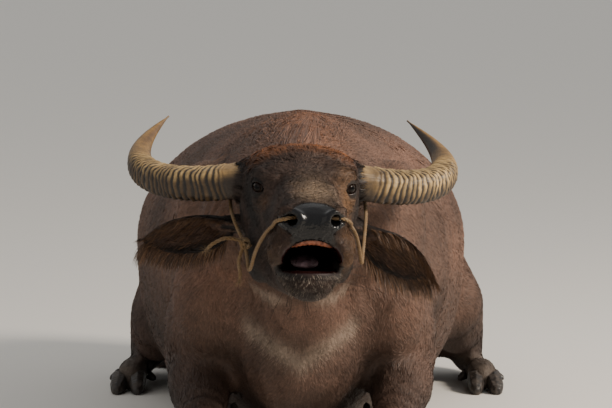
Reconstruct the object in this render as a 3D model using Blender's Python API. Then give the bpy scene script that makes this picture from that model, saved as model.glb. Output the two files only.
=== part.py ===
# A swamp-type water buffalo, life size, resting on its brisket with its head stretched forward.
# Metres, +Z up. The muzzle points to -Y, so the animal's left side is +X.
# Built with the poll over y = POLL_Y, then moved so that the origin is the middle of the footprint.

import math
import random

import bmesh
import bpy
from mathutils import Euler, Matrix, Vector
from mathutils.bvhtree import BVHTree

GAP = 0.0003  # left between meshes that touch
GROWN = 0.0005  # how far a piece is grown before it trims its neighbour

# Driving dimensions of the body
WITHERS_HEIGHT = 0.742
BARREL_HALF_WIDTH = 0.40
CHIN_HEIGHT = 0.51  # where the lower lip is held above the floor
POLL_Y = -1.15
NECK_CUT_Y = -1.075  # head meets neck
CHEST_CUT_Y = -0.79  # neck meets torso

# How the head is turned, about the poll
HEAD_YAW = math.radians(3.8)
HEAD_ROLL = math.radians(1.4)
HEAD_SHIFT = -0.0053  # sideways, at the poll

# Eyes, in the head's own frame: lateral, forward of the poll, above the chin
EYE = Vector((0.0885, 0.164, 0.146))
EYE_RADIUS = 0.0205
EYE_GAZE = Vector((0.75, 0.65, 0.06)).normalized()
EYE_SLANT = math.radians(13)  # the corner by the nose lies lower
EYE_LENS = Vector((0.0245, 0.0200, 0.0205))  # half sizes of each of the two bodies that meet in the almond
EYE_LENS_DROP = 0.0090
LID = 0.0042
LID_HALF_WIDTH = 0.0215
LID_RISE = 0.0122
LID_BEAD = 0.0033

# Horns
HORN_BASE = Vector((0.089, 0.000, 0.156))  # lateral, back from the poll, above the chin
HORN_ROOT = 0.040  # hidden in the skull
HORN_LENGTH = 0.565
HORN_HALF_THICKNESS = 0.0345
HORN_FLATNESS = 1.28  # fore-and-aft width over thickness
HORN_HEADING = (7.8, 73.8, 134.0)  # degrees at root, middle and tip, from sideways round to backwards
HORN_CLIMB = (-11.9, 11.5, 30.5)
HORN_PLANE = math.radians(17)
RIDGE_START = 0.024
RIDGE_PITCH = 0.0158
RIDGE_DEPTH = 0.0034
RIDGES = 19

EAR_LENGTH = 0.198
EAR_HALF_WIDTH = 0.045
EAR_THICKNESS = 0.0075
EAR_ROOT = 0.030  # hidden in the head
EAR_STEM = (0.029, 0.014)  # radii of the round stem
EAR_LOCKS = 5  # to each edge
EAR_FRINGE = (0.14, 0.90)  # where the fringe starts and ends, as shares of the ear's length
EAR_LOCK_LENGTHS = (0.056, 0.068)
EAR_LOCK_WIDTH = 0.0135
EAR_LOCK_ROOT = 0.86  # where a lock is rooted, from the ear's middle 0 to its edge 1
EAR_LOCK_TURN = 0.42  # how far a lock leans out from the ear's own line
LOCK_FLATNESS = 0.24  # thickness over width

ROPE_RADIUS = 0.0042
ROPE_CLEARANCE = ROPE_RADIUS + 0.0018  # from the rope's middle to the skin
ROPE_GROOVE = ROPE_RADIUS + 0.0011  # where the rope presses into hide or horn
NOSE_REACH = 0.062  # the rope isn't laid on the skin nearer than this to the septum

# Fineness of each skin: voxel, rounds of softening, triangles left
BODY_SKIN = (0.0088, 28, 2800)
LARGE_HEAD_SKIN = (0.0055, 11)
HEAD_SKIN = (0.0042, 4, 2050)
REGION_SKIN = (0.024, 6, 200)
EAR_SKIN = (0.0031, 4, 270)
KNOT_SKIN = (0.0020, 3, 260)

MATERIALS = {
    "hide": ((0.085, 0.066, 0.058), 0.62),
    "muzzle_mouth": ((0.42, 0.17, 0.12), 0.35),
    "horn": ((0.36, 0.25, 0.14), 0.55),
    "eye": ((0.012, 0.009, 0.008), 0.08),
    "hoof": ((0.05, 0.042, 0.036), 0.5),
    "long_hair": ((0.11, 0.06, 0.035), 0.8),
    "rope": ((0.42, 0.29, 0.16), 0.85),
}

# Stations of the trunk: y, top, height of the widest point, underside, half width,
# roundness of the upper half, roundness of the lower half (2 is an ellipse, less is sharper)
TORSO_STATIONS = (
    (-0.86, 0.60, 0.44, 0.27, 0.100, 2.0, 2.0),
    (-0.79, 0.680, 0.42, 0.14, 0.195, 2.0, 1.7),
    (-0.69, 0.716, 0.40, 0.055, 0.255, 1.9, 1.6),
    (-0.55, 0.738, 0.39, 0.008, 0.295, 1.8, 1.6),
    (-0.38, WITHERS_HEIGHT, 0.40, -0.008, 0.335, 1.85, 1.9),
    (-0.18, 0.735, 0.41, -0.018, 0.378, 1.9, 2.3),
    (0.02, 0.720, 0.41, -0.024, BARREL_HALF_WIDTH, 2.0, 2.6),
    (0.22, 0.704, 0.40, -0.024, 0.392, 2.0, 2.6),
    (0.38, 0.694, 0.39, -0.018, 0.358, 2.0, 2.4),
    (0.53, 0.682, 0.38, 0.000, 0.305, 2.0, 2.1),
    (0.67, 0.648, 0.37, 0.040, 0.240, 2.0, 2.0),
    (0.765, 0.590, 0.37, 0.120, 0.160, 2.0, 2.0),
    (0.815, 0.500, 0.38, 0.250, 0.060, 2.0, 2.0),
)

NECK_STATIONS = (
    (-0.56, 0.735, 0.46, 0.200, 0.210, 1.9, 1.8),
    (-0.70, 0.728, 0.47, 0.215, 0.185, 1.8, 1.7),
    (-0.84, 0.718, 0.49, 0.290, 0.152, 1.8, 1.6),
    (-0.97, 0.712, 0.52, 0.355, 0.131, 1.9, 1.6),
    (-1.07, 0.712, 0.55, 0.410, 0.120, 2.1, 1.8),
    (-1.16, 0.710, 0.57, 0.435, 0.112, 2.2, 1.9),
)

# Stations of the upper head: forward of the poll, then heights above the chin, as above
HEAD_STATIONS = (
    (-0.130, 0.198, 0.050, -0.075, 0.114, 2.2, 1.8),
    (-0.050, 0.211, 0.090, -0.078, 0.123, 2.5, 1.9),
    (0.000, 0.219, 0.110, -0.078, 0.127, 2.8, 2.0),
    (0.050, 0.219, 0.120, -0.078, 0.126, 2.8, 2.0),
    (0.100, 0.213, 0.120, -0.074, 0.116, 2.7, 1.9),
    (0.150, 0.199, 0.110, -0.066, 0.101, 2.5, 1.9),
    (0.200, 0.186, 0.090, -0.052, 0.089, 2.3, 1.9),
    (0.260, 0.171, 0.075, -0.025, 0.079, 2.2, 2.0),
    (0.320, 0.160, 0.070, 0.010, 0.075, 2.2, 2.2),
    (0.380, 0.151, 0.076, 0.038, 0.076, 2.2, 2.4),
    (0.430, 0.144, 0.086, 0.056, 0.075, 2.2, 2.6),
    (0.462, 0.136, 0.094, 0.066, 0.069, 2.3, 2.6),
    (0.480, 0.125, 0.098, 0.074, 0.056, 2.3, 2.4),
    (0.490, 0.112, 0.100, 0.086, 0.034, 2.2, 2.2),
)

JAW_STATIONS = (
    (-0.020, 0.0335, -0.0165, -0.0685, 0.080, 2.0, 2.0),
    (0.050, 0.0335, -0.0265, -0.0825, 0.090, 2.0, 2.0),
    (0.120, 0.0285, -0.0325, -0.0865, 0.084, 2.0, 2.0),
    (0.200, 0.0135, -0.0365, -0.0825, 0.071, 2.0, 2.0),
    (0.280, 0.0075, -0.0345, -0.0745, 0.059, 2.2, 2.0),
    (0.340, 0.0015, -0.0305, -0.0685, 0.054, 2.4, 2.0),
    (0.400, -0.0025, -0.0265, -0.0605, 0.053, 2.4, 2.0),
    (0.440, -0.0075, -0.0265, -0.0495, 0.043, 2.2, 2.0),
    (0.458, -0.0165, -0.0285, -0.0405, 0.024, 2.0, 2.0),
)

MOUTH_LEVEL = 0.0005  # where the lower jaw parts from the head, above the chin
MOUTH_STATIONS = (
    (0.550, 0.0660, 0.014, 0.0000, 0.064, 2.0, 5.0),
    (0.450, 0.0660, 0.014, 0.0000, 0.062, 2.0, 5.0),
    (0.370, 0.0560, 0.013, 0.0000, 0.051, 2.0, 5.0),
    (0.290, 0.0350, 0.010, 0.0000, 0.036, 2.0, 4.0),
    (0.230, 0.0180, 0.008, 0.0000, 0.020, 2.0, 3.0),
)

# Beads along the lips and round each nostril: lateral, forward, above the chin
UPPER_LIP = (
    (-0.066, 0.330, 0.008),
    (-0.075, 0.390, 0.014),
    (-0.070, 0.430, 0.034),
    (-0.046, 0.456, 0.066),
    (0, 0.467, 0.081),
)
LOWER_LIP = (
    (-0.058, 0.330, -0.014),
    (-0.054, 0.395, -0.014),
    (-0.037, 0.430, -0.014),
    (0, 0.445, -0.013),
)
NOSTRIL_RIM = (
    (0.066, 0.452, 0.125),
    (0.052, 0.474, 0.128),
    (0.030, 0.486, 0.118),
    (0.028, 0.487, 0.100),
    (0.044, 0.480, 0.090),
    (0.064, 0.462, 0.094),
)

TAIL_ROUTE = (
    (0.000, 0.745, 0.570),
    (0.000, 0.815, 0.530),
    (0.000, 0.846, 0.430),
    (-0.006, 0.848, 0.290),
    (-0.022, 0.852, 0.140),
    (-0.075, 0.862, 0.046),
    (-0.165, 0.846, 0.020),
    (-0.245, 0.800, 0.017),
)
TAIL_RADII = (0.036, 0.0115)
TAIL_CLEARANCE = 0.005
SWITCH_LENGTH = 0.20
SWITCH_LOCKS = 10
SWITCH_LOCK_WIDTH = 0.0165
SWITCH_SPREAD = 0.26
SWITCH_CURL = 0.034
SWITCH_CORE = (0.0165, 0.0100)


# Bones and muscles under the skin. A mass is centre, half sizes, tilt in degrees about x, y, z.
# A limb is start, end, start radius, end radius. Those under "sides" are given for the left.
TRUNK_LIMBS = (
    ((0, -0.74, 0.660), (0, -0.36, 0.688), 0.060, 0.064),  # withers
    ((0, -0.36, 0.688), (0, 0.46, 0.640), 0.064, 0.054),  # back
    ((0, 0.46, 0.640), (0, 0.760, 0.560), 0.056, 0.044),  # croup and tail head
    ((0, -0.74, 0.140), (0, -0.50, 0.070), 0.085, 0.085),  # breastbone
    ((0, -1.02, 0.470), (0, -0.79, 0.290), 0.055, 0.115),  # throat down to the brisket
)
TRUNK_MASSES = (((0, -0.725, 0.270), (0.150, 0.150, 0.200), (-12, 0, 0)),)  # brisket
TRUNK_SIDE_MASSES = (
    ((0.185, -0.56, 0.455), (0.100, 0.175, 0.205), (-14, 13, 0)),  # shoulder blade
    ((0.200, -0.67, 0.340), (0.096, 0.140, 0.160), (30, 0, 0)),  # point of the shoulder
    ((0.225, -0.57, 0.255), (0.092, 0.160, 0.140), (-20, 0, 0)),  # upper arm
    ((0.200, 0.455, 0.588), (0.070, 0.105, 0.055), (0, 25, 0)),  # hook bone
    ((0.165, 0.600, 0.490), (0.120, 0.180, 0.140), (-20, 0, 0)),  # rump
    ((0.185, 0.655, 0.290), (0.125, 0.150, 0.240), (8, 0, 0)),  # buttock
    ((0.140, -0.790, 0.530), (0.085, 0.150, 0.130), (0, 0, 0)),  # base of the neck
)
TRUNK_SIDE_LIMBS = (
    ((0.175, 0.50, 0.560), (0.100, 0.745, 0.495), 0.080, 0.066),  # hook bone to pin bone
    ((0.065, -1.06, 0.635), (0.150, -0.70, 0.560), 0.055, 0.080),  # neck muscle
)
SKULL_MASSES = (
    ((0, 0.060, 0.165), (0.120, 0.105, 0.060), (0, 0, 0)),  # forehead
    ((0, 0.400, -0.042), (0.044, 0.050, 0.026), (0, 0, 0)),  # chin
)
SKULL_SIDE_MASSES = (
    ((0.080, 0.160, 0.143), (0.035, 0.052, 0.040), (0, 0, 0)),  # eye socket
    ((0.068, 0.142, 0.170), (0.042, 0.062, 0.024), (0, 24, 0)),  # brow
    ((0.084, 0.070, 0.010), (0.034, 0.090, 0.078), (0, 0, 0)),  # chewing muscle
    ((0.043, 0.450, 0.104), (0.030, 0.032, 0.034), (0, 0, 0)),  # nostril wing
    ((0.066, 0.400, 0.050), (0.026, 0.070, 0.044), (8, -10, 0)),  # upper lip
)
SKULL_SIDE_LIMBS = (
    ((0.074, 0.190, 0.096), (0.058, 0.310, 0.086), 0.023, 0.018),  # cheek ridge
    ((0.086, 0.002, 0.150), (0.114, -0.002, 0.147), 0.050, 0.040),  # horn core
    ((0.056, 0.210, 0.010), (0.062, 0.350, 0.006), 0.026, 0.019),  # cheek beside the teeth
    ((0.038, 0.240, 0.146), (0.036, 0.430, 0.120), 0.023, 0.023),  # nasal bone
)

# Folds round the eye and the edge of the nostril: lateral, forward, above the chin
BROW_FOLD = ((0.077, 0.196, 0.164), (0.088, 0.180, 0.176), (0.098, 0.155, 0.177), (0.104, 0.125, 0.166))
CHEEK_FOLD = ((0.083, 0.199, 0.128), (0.093, 0.184, 0.117), (0.103, 0.160, 0.114), (0.107, 0.132, 0.124))
DENTAL_PAD = (
    (-0.042, 0.415, 0.050),
    (-0.030, 0.440, 0.059),
    (0, 0.450, 0.0650),
    (0.030, 0.440, 0.059),
    (0.042, 0.415, 0.050),
)


# Small tools

def clear_scene():
    for item in list(bpy.data.objects):
        bpy.data.objects.remove(item, do_unlink=True)


def material(slot):
    found = bpy.data.materials.get(slot)
    if found:
        return found
    colour, roughness = MATERIALS[slot]
    made = bpy.data.materials.new(slot)
    made.use_nodes = True
    shader = made.node_tree.nodes["Principled BSDF"]
    shader.inputs["Base Color"].default_value = (*colour, 1.0)
    shader.inputs["Roughness"].default_value = roughness
    made.diffuse_color = (*colour, 1.0)
    return made


def finish(item, slot):
    item.data.materials.clear()
    item.data.materials.append(material(slot))
    item.data.shade_smooth()
    item.data.set_sharp_from_angle(angle=math.radians(40))
    return item


def linked(name, mesh):
    item = bpy.data.objects.new(name, mesh)
    bpy.context.scene.collection.objects.link(item)
    return item


def from_bmesh(name, shape):
    bmesh.ops.recalc_face_normals(shape, faces=shape.faces)
    mesh = bpy.data.meshes.new(name)
    shape.to_mesh(mesh)
    shape.free()
    return linked(name, mesh)


def settle(item):
    """Applies the modifiers that are on an object."""
    bpy.context.view_layer.update()
    graph = bpy.context.evaluated_depsgraph_get()
    mesh = bpy.data.meshes.new_from_object(item.evaluated_get(graph))
    old = item.data
    item.modifiers.clear()
    item.data = mesh
    bpy.data.meshes.remove(old)
    return item


def joined(name, pieces):
    """One object that holds the meshes of several, which are removed."""
    shape = bmesh.new()
    for piece in pieces:
        shape.from_mesh(piece.data)
        mesh = piece.data
        bpy.data.objects.remove(piece)
        bpy.data.meshes.remove(mesh)
    mesh = bpy.data.meshes.new(name)
    shape.to_mesh(mesh)
    shape.free()
    return linked(name, mesh)


def through(keys, steps):
    """Rows eased through the key rows by a Catmull-Rom curve, steps to each span."""
    rows = []
    last = len(keys) - 1
    for span in range(last):
        before = keys[max(span - 1, 0)]
        start, end = keys[span], keys[span + 1]
        after = keys[min(span + 2, last)]
        for step in range(steps):
            t = step / steps
            row = []
            for p0, p1, p2, p3 in zip(before, start, end, after):
                a = 2 * p1
                b = (p2 - p0) * t
                c = (2 * p0 - 5 * p1 + 4 * p2 - p3) * t * t
                d = (3 * p1 - p0 - 3 * p2 + p3) * t * t * t
                row.append(0.5 * (a + b + c + d))
            rows.append(row)
    rows.append(list(keys[-1]))
    return rows


def oval(centre, right, up, half_width, above, below, powers, around):
    """A ring of points: a superellipse with its own height and roundness above and below."""
    points = []
    for k in range(around):
        angle = 2 * math.pi * k / around
        c, s = math.cos(angle), math.sin(angle)
        power = powers[0] if s >= 0 else powers[1]
        across = half_width * math.copysign(abs(c) ** (2 / power), c)
        rise = (above if s >= 0 else below) * math.copysign(abs(s) ** (2 / power), s)
        points.append(centre + right * across + up * rise)
    return points


def loft(name, rings):
    """A closed body over a row of rings with the same number of points."""
    shape = bmesh.new()
    layers = [[shape.verts.new(point) for point in ring] for ring in rings]
    around = len(rings[0])
    for lower, upper in zip(layers, layers[1:]):
        for k in range(around):
            j = (k + 1) % around
            shape.faces.new((lower[k], lower[j], upper[j], upper[k]))
    for layer in (layers[0], layers[-1]):
        middle = shape.verts.new(sum((vert.co for vert in layer), Vector()) / around)
        for k in range(around):
            shape.faces.new((layer[k], layer[(k + 1) % around], middle))
    return from_bmesh(name, shape)


def along_y(name, stations, place, around=36, steps=3):
    """A body lofted through stations of (along, top, widest, underside, half width, powers)."""
    rings = []
    for along, top, widest, under, half, upper_power, lower_power in through(stations, steps):
        rings.append(
            oval(
                place(along, widest),
                Vector((1, 0, 0)),
                Vector((0, 0, 1)),
                half,
                top - widest,
                widest - under,
                (upper_power, lower_power),
                around,
            )
        )
    return loft(name, rings)


def mass(centre, radii, turn=(0, 0, 0), around=24):
    """An ellipsoid, for a muscle or a bone under the skin."""
    shape = bmesh.new()
    bmesh.ops.create_uvsphere(shape, u_segments=around, v_segments=around * 7 // 12, radius=1)
    place = Matrix.LocRotScale(
        Vector(centre), Euler([math.radians(a) for a in turn]), Vector(radii)
    )
    bmesh.ops.transform(shape, matrix=place, verts=shape.verts)
    return from_bmesh("mass", shape)


def bone(start, end, start_radius, end_radius, around=16, steps=4):
    """A tapered capsule from one joint to the next."""
    start, end = Vector(start), Vector(end)
    way = (end - start).normalized()
    right = way.orthogonal().normalized()
    up = way.cross(right)
    rings = []
    for centre, radius, lo, hi in ((start, start_radius, -80, 0), (end, end_radius, 0, 80)):
        for step in range(steps + 1):
            angle = math.radians(lo + (hi - lo) * step / steps)
            size = radius * math.cos(angle)
            at = centre + way * radius * math.sin(angle)
            rings.append(oval(at, right, up, size, size, size, (2, 2), around))
    return loft("bone", rings)


def tube(name, points, radii, around=8):
    """A round body along points, turned with the least twist."""
    rings = []
    right = None
    count = len(points)
    for k, point in enumerate(points):
        before = points[max(k - 1, 0)]
        after = points[min(k + 1, count - 1)]
        way = (after - before).normalized()
        right = way.orthogonal() if right is None else right - way * right.dot(way)
        right.normalize()
        up = way.cross(right)
        size = radii[k]
        rings.append(oval(point, right, up, size, size, size, (2, 2), around))
    return loft(name, rings)


def arc_tube(keys, radius, steps=5, around=12):
    """A rounded bead along a smooth curve through keys, thinner at its two ends."""
    points = [Vector(row) for row in through(keys, steps)]
    last = len(points) - 1
    radii = [radius * (0.45 + 0.55 * math.sin(math.pi * k / last) ** 0.5) for k in range(last + 1)]
    return tube("bead", points, radii, around)


def skin_over(name, pieces, voxel, smoothing):
    """One closed skin over overlapping bodies, with the creases between them softened."""
    item = joined(name, pieces)
    remesh = item.modifiers.new("Skin", "REMESH")
    remesh.mode = "VOXEL"
    remesh.voxel_size = voxel
    soften = item.modifiers.new("Soften", "SMOOTH")
    soften.factor = 0.5
    soften.iterations = smoothing
    return settle(item)


def thin_out(item, triangles):
    """Leaves about that many triangles, most of them where the surface bends."""
    count = sum(len(face.vertices) - 2 for face in item.data.polygons)
    facets = item.modifiers.new("Facets", "DECIMATE")
    facets.ratio = triangles / count
    return settle(item)


def keep_largest(item):
    """Drops all but the largest closed surface, so that a node is one body."""
    shape = bmesh.new()
    shape.from_mesh(item.data)
    left = set(shape.verts)
    islands = []
    while left:
        queue = [left.pop()]
        island = set(queue)
        while queue:
            for edge in queue.pop().link_edges:
                for vert in edge.verts:
                    if vert in left:
                        left.remove(vert)
                        island.add(vert)
                        queue.append(vert)
        islands.append(island)
    islands.sort(key=enclosed_by, reverse=True)
    for island in islands[1:]:
        bmesh.ops.delete(shape, geom=list(island), context="VERTS")
    shape.to_mesh(item.data)
    shape.free()
    return item


def enclosed_by(verts):
    """The volume inside a closed surface, six times over."""
    faces = {face for vert in verts for face in vert.link_faces}
    total = 0.0
    for face in faces:
        corners = [vert.co for vert in face.verts]
        for k in range(1, len(corners) - 1):
            total += corners[0].dot(corners[k].cross(corners[k + 1]))
    return abs(total)


def volume_of(item):
    shape = bmesh.new()
    shape.from_mesh(item.data)
    volume = shape.calc_volume()
    shape.free()
    return volume


def combine(item, other, operation):
    """Cuts by another object or keeps what the two share, and removes the other one.

    Where the exact solver gives a body that is too large or too small, the other solver is used.
    """
    before = item.data.copy()
    whole, part = volume_of(item), volume_of(other)
    slack = 0.01 * min(whole, part)
    least = whole - part - slack if operation == "DIFFERENCE" else 0.0
    most = (whole if operation == "DIFFERENCE" else min(whole, part)) + slack
    for solver in ("EXACT", "MANIFOLD"):
        step = item.modifiers.new("Step", "BOOLEAN")
        step.operation = operation
        step.solver = solver
        step.object = other
        settle(item)
        if item.data.polygons and least <= volume_of(item) <= most:
            break
        if solver == "EXACT":
            item.data = before.copy()
    bpy.data.meshes.remove(before)
    mesh = other.data
    bpy.data.objects.remove(other)
    bpy.data.meshes.remove(mesh)
    return item


def cut(item, cutter):
    return combine(item, cutter, "DIFFERENCE")


def grown_copy(item, by=GROWN):
    copy = linked(item.name + "_grown", item.data.copy())
    grow = copy.modifiers.new("Grow", "DISPLACE")
    grow.mid_level = 0
    grow.strength = by
    return settle(copy)


def trim(item, *neighbours):
    """Cuts an object back so that it only meets its neighbours."""
    for neighbour in neighbours:
        cut(item, grown_copy(neighbour))
    return keep_largest(item)


def block(low, high):
    """A box between two corners."""
    shape = bmesh.new()
    bmesh.ops.create_cube(shape, size=1)
    low, high = Vector(low), Vector(high)
    bmesh.ops.scale(shape, vec=high - low, verts=shape.verts)
    bmesh.ops.translate(shape, vec=(low + high) / 2, verts=shape.verts)
    return from_bmesh("block", shape)


def stand_on_floor(item):
    """Cuts a flat at floor level, where the flesh spreads under the animal's weight."""
    return keep_largest(cut(item, block((-3, -3, -1), (3, 3, 0))))


def moved(item, matrix):
    item.data.transform(matrix)
    return item


def copied(item, name):
    return linked(name, item.data.copy())


# Flesh of trunk, neck and legs, made as one skin and then parted

def foreleg_joints(side):
    """Folded under the shoulder: knee forward on the floor, foot turned back beside the brisket."""
    return {
        "elbow": Vector((side * 0.232, -0.56, 0.205)),
        "knee": Vector((side * 0.215, -0.895, 0.056)),
        "fetlock": Vector((side * 0.172, -0.668, 0.037)),
        "coronet": Vector((side * 0.160, -0.602, 0.030)),
        "toe": Vector((side * 0.148, -0.520, 0.024)),
    }


def hindleg_joints(side):
    """Folded beside the belly. The left is drawn up a little higher and wider than the right."""
    wide = 0.0 if side > 0 else -0.030
    high = 0.0 if side > 0 else -0.030
    return {
        "hip": Vector((side * 0.19, 0.50, 0.44)),
        "stifle": Vector((side * (0.365 + wide), 0.175, 0.235 + high)),
        "hock": Vector((side * (0.425 + wide), 0.600, 0.068)),
        "fetlock": Vector((side * (0.455 + wide), 0.335, 0.038)),
        "coronet": Vector((side * (0.461 + wide), 0.268, 0.034)),
        "toe": Vector((side * (0.465 + wide), 0.183, 0.022)),
    }


def foreleg_pieces(side):
    joint = foreleg_joints(side)
    elbow, knee, fetlock = joint["elbow"], joint["knee"], joint["fetlock"]
    return [
        bone(elbow, knee + Vector((0, 0.01, 0.010)), 0.088, 0.047),
        mass(elbow.lerp(knee, 0.33) + Vector((side * 0.008, 0, 0)), (0.074, 0.130, 0.080), (24, 0, 0)),
        mass(knee, (0.052, 0.060, 0.060)),
        bone(knee + Vector((0, 0.02, -0.020)), fetlock, 0.036, 0.033),
        mass(fetlock, (0.043, 0.045, 0.042)),
        bone(fetlock, joint["coronet"], 0.037, 0.039),
    ]


def hindleg_pieces(side):
    joint = hindleg_joints(side)
    hip, stifle, hock, fetlock = (joint[name] for name in ("hip", "stifle", "hock", "fetlock"))
    return [
        bone(hip, stifle, 0.150, 0.092),
        mass(hip.lerp(stifle, 0.45) + Vector((side * 0.020, 0.05, -0.04)), (0.120, 0.225, 0.190)),
        bone(hip + Vector((side * 0.02, 0.14, -0.06)), hock, 0.120, 0.048),
        mass(hip.lerp(hock, 0.62) + Vector((side * 0.010, -0.03, 0)), (0.095, 0.150, 0.165)),
        mass(stifle, (0.080, 0.085, 0.098)),
        bone(stifle, hock, 0.092, 0.050),
        mass(stifle.lerp(hock, 0.35) + Vector((side * 0.005, 0, 0)), (0.072, 0.14, 0.08), (20, 0, 0)),
        mass(hock, (0.044, 0.058, 0.056)),
        bone(hock + Vector((0, 0.005, 0.01)), hock + Vector((0, 0.056, 0.022)), 0.036, 0.026),
        bone(hock + Vector((0, -0.01, -0.028)), fetlock, 0.037, 0.034),
        mass(fetlock, (0.044, 0.046, 0.043)),
        bone(fetlock, joint["coronet"], 0.038, 0.040),
    ]


def mirrored(point, side):
    return Vector((point[0] * side, point[1], point[2]))


def side_mass(row, side):
    """A mass on the given side, from its row for the left side."""
    centre, radii, (pitch, roll, yaw) = row
    return mass(mirrored(centre, side), radii, (pitch, roll * side, yaw * side))


def trunk_pieces():
    at = lambda y, z: Vector((0, y, z))
    pieces = [along_y("barrel", TORSO_STATIONS, at, around=48), along_y("neck", NECK_STATIONS, at)]
    pieces += [bone(*row) for row in TRUNK_LIMBS]
    pieces += [mass(*row) for row in TRUNK_MASSES]
    for side in (1, -1):
        pieces += [side_mass(row, side) for row in TRUNK_SIDE_MASSES]
        for start, end, thick, thin in TRUNK_SIDE_LIMBS:
            pieces.append(bone(mirrored(start, side), mirrored(end, side), thick, thin))
    return pieces


def leg_region(name, pieces):
    """The space that a leg takes up, with soft borders, for parting it from the trunk."""
    voxel, smoothing, triangles = REGION_SKIN
    return thin_out(skin_over(name, pieces, voxel, smoothing), triangles)


def foreleg_region(side):
    joint = foreleg_joints(side)
    elbow, knee = joint["elbow"], joint["knee"]
    out = Vector((side, 0, 0))
    return leg_region(
        "fore_region",
        [
            mass(elbow + out * 0.035 + Vector((0, -0.02, -0.025)), (0.130, 0.165, 0.140)),
            bone(elbow + out * 0.03 + Vector((0, 0, -0.05)), knee, 0.125, 0.098),
            bone(knee + out * 0.01, joint["coronet"] + out * 0.02 + Vector((0, 0.03, 0)), 0.098, 0.085),
        ],
    )


def hindleg_region(side):
    joint = hindleg_joints(side)
    stifle, hock = joint["stifle"], joint["hock"]
    out = Vector((side, 0, 0))
    return leg_region(
        "hind_region",
        [
            mass((side * 0.345, 0.40, 0.27), (0.185, 0.31, 0.255), (12, 0, 0)),
            bone(stifle + out * 0.03, hock + out * 0.02, 0.125, 0.110),
            bone(hock + out * 0.01, joint["coronet"] + out * 0.01 + Vector((0, -0.03, 0)), 0.105, 0.085),
        ],
    )


def make_flesh():
    """Trunk, neck and four legs. Feet are cut off square where the claws begin."""
    pieces = trunk_pieces() + [placed(piece) for piece in skull_pieces()]
    for side in (1, -1):
        pieces += foreleg_pieces(side) + hindleg_pieces(side)
    voxel, smoothing, triangles = BODY_SKIN
    flesh = skin_over("torso", pieces, voxel, smoothing)
    cut(flesh, block((-1, -3, -1), (1, NECK_CUT_Y - 0.03, 2)))
    keep_largest(flesh)
    thin_out(flesh, triangles)
    return stand_on_floor(flesh)


def part_flesh(flesh):
    legs = {}
    regions = []
    for limb, region_of in (("fore", foreleg_region), ("hind", hindleg_region)):
        for side, label in ((1, "left"), (-1, "right")):
            region = region_of(side)
            regions.append(grown_copy(region, GAP))
            leg = copied(flesh, f"{limb}leg_{label}")
            legs[limb, side] = keep_largest(combine(leg, region, "INTERSECT"))
    for region in regions:
        cut(flesh, region)
    neck = copied(flesh, "neck")
    cut(flesh, block((-1, -2, -1), (1, CHEST_CUT_Y, 2)))
    keep_largest(flesh)
    cut(neck, block((-1, CHEST_CUT_Y - GAP, -1), (1, 2, 2)))
    cut(neck, block((-1, -3, -1), (1, NECK_CUT_Y + GAP, 2)))
    keep_largest(neck)
    return flesh, neck, legs


def claw(name, root, toe, leg):
    """One half of a cloven hoof, a wedge with its flat face down."""
    way = toe - root
    right = Vector((way.y, -way.x, 0)).normalized()
    rings = []
    for share, half, top in (
        (-0.30, 0.0205, 0.056),
        (0.20, 0.0215, 0.053),
        (0.55, 0.0200, 0.043),
        (0.85, 0.0150, 0.029),
        (1.00, 0.0065, 0.017),
    ):
        at = root + way * share
        at.z = top / 2
        rings.append(oval(at, right, Vector((0, 0, 1)), half, top / 2, top / 2, (2.6, 3.2), 8))
    return trim(loft(name, rings), leg)


def make_foot(joint, side, limb, leg):
    """Two claws and two dewclaws, each set on the end of its leg."""
    name_side = "left" if side > 0 else "right"
    root, toe = joint["coronet"], joint["toe"]
    way = (toe - root).normalized()
    across = Vector((way.y, -way.x, 0)).normalized()
    made = []
    for label, turn in (("inner", -side), ("outer", side)):
        shift = across * 0.0218 * math.copysign(1, across.x) * turn
        splay = across * 0.0045 * math.copysign(1, across.x) * turn
        made.append(claw(f"hoof_{limb}_{name_side}_{label}", root + shift, toe + shift + splay, leg))
        if limb == "fore":
            start = joint["fetlock"] + shift * 0.9 - way * 0.015 + Vector((0, 0, 0.034))
            end = start + Vector((0, 0, 0.026)) + way * 0.022
        else:
            start = joint["fetlock"] + shift * 1.5 - way * 0.020 + Vector((0, 0, -0.008))
            end = start + shift * 0.9 + way * 0.018 + Vector((0, 0, -0.008))
        dew = bone(start, end, 0.0135, 0.0085, around=7, steps=1)
        dew.name = f"dewclaw_{limb}_{name_side}_{label}"
        made.append(trim(dew, leg))
    for item in made:
        finish(item, "hoof")


# Tail

def make_tail(trunk):
    """Hangs against the rump from its root, then lies on the floor. Also returns its middle line."""
    points = [Vector(row) for row in through(TAIL_ROUTE, 2)]
    last = len(points) - 1
    thick, thin = TAIL_RADII
    radii = [thick + (thin - thick) * (k / last) ** 0.6 for k in range(last + 1)]
    hanging = 4  # points before this one belong to the root, inside the rump
    for k in range(hanging, last + 1):
        points[k] = laid_on([trunk], [points[k]], radii[k] + TAIL_CLEARANCE)[0]
    tail = tube("tail", points, radii, around=9)
    return trim(tail, trunk), points


def lock(root, way, flat, length, width, droop, curl, sides=4, rings=4, floor=-9.0):
    """A flat leaf-shaped lock of hair, bent along its lie, with its flat sides facing along flat."""
    way = way.normalized()
    right = way.cross(flat).normalized()
    up = right.cross(way)
    layers = []
    for k in range(rings):
        t = k / (rings - 1)
        at = root + way * length * t + Vector((0, 0, -droop * t * t)) + right * curl * t * t
        half = width * (0.6 + 1.6 * t) * (1 - t) ** 0.9 + 0.0008
        thick = half * LOCK_FLATNESS
        at.z = max(at.z, floor + thick)
        layers.append(oval(at, right, up, half, thick, thick, (2, 2), sides))
    return loft("lock", layers)


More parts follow.
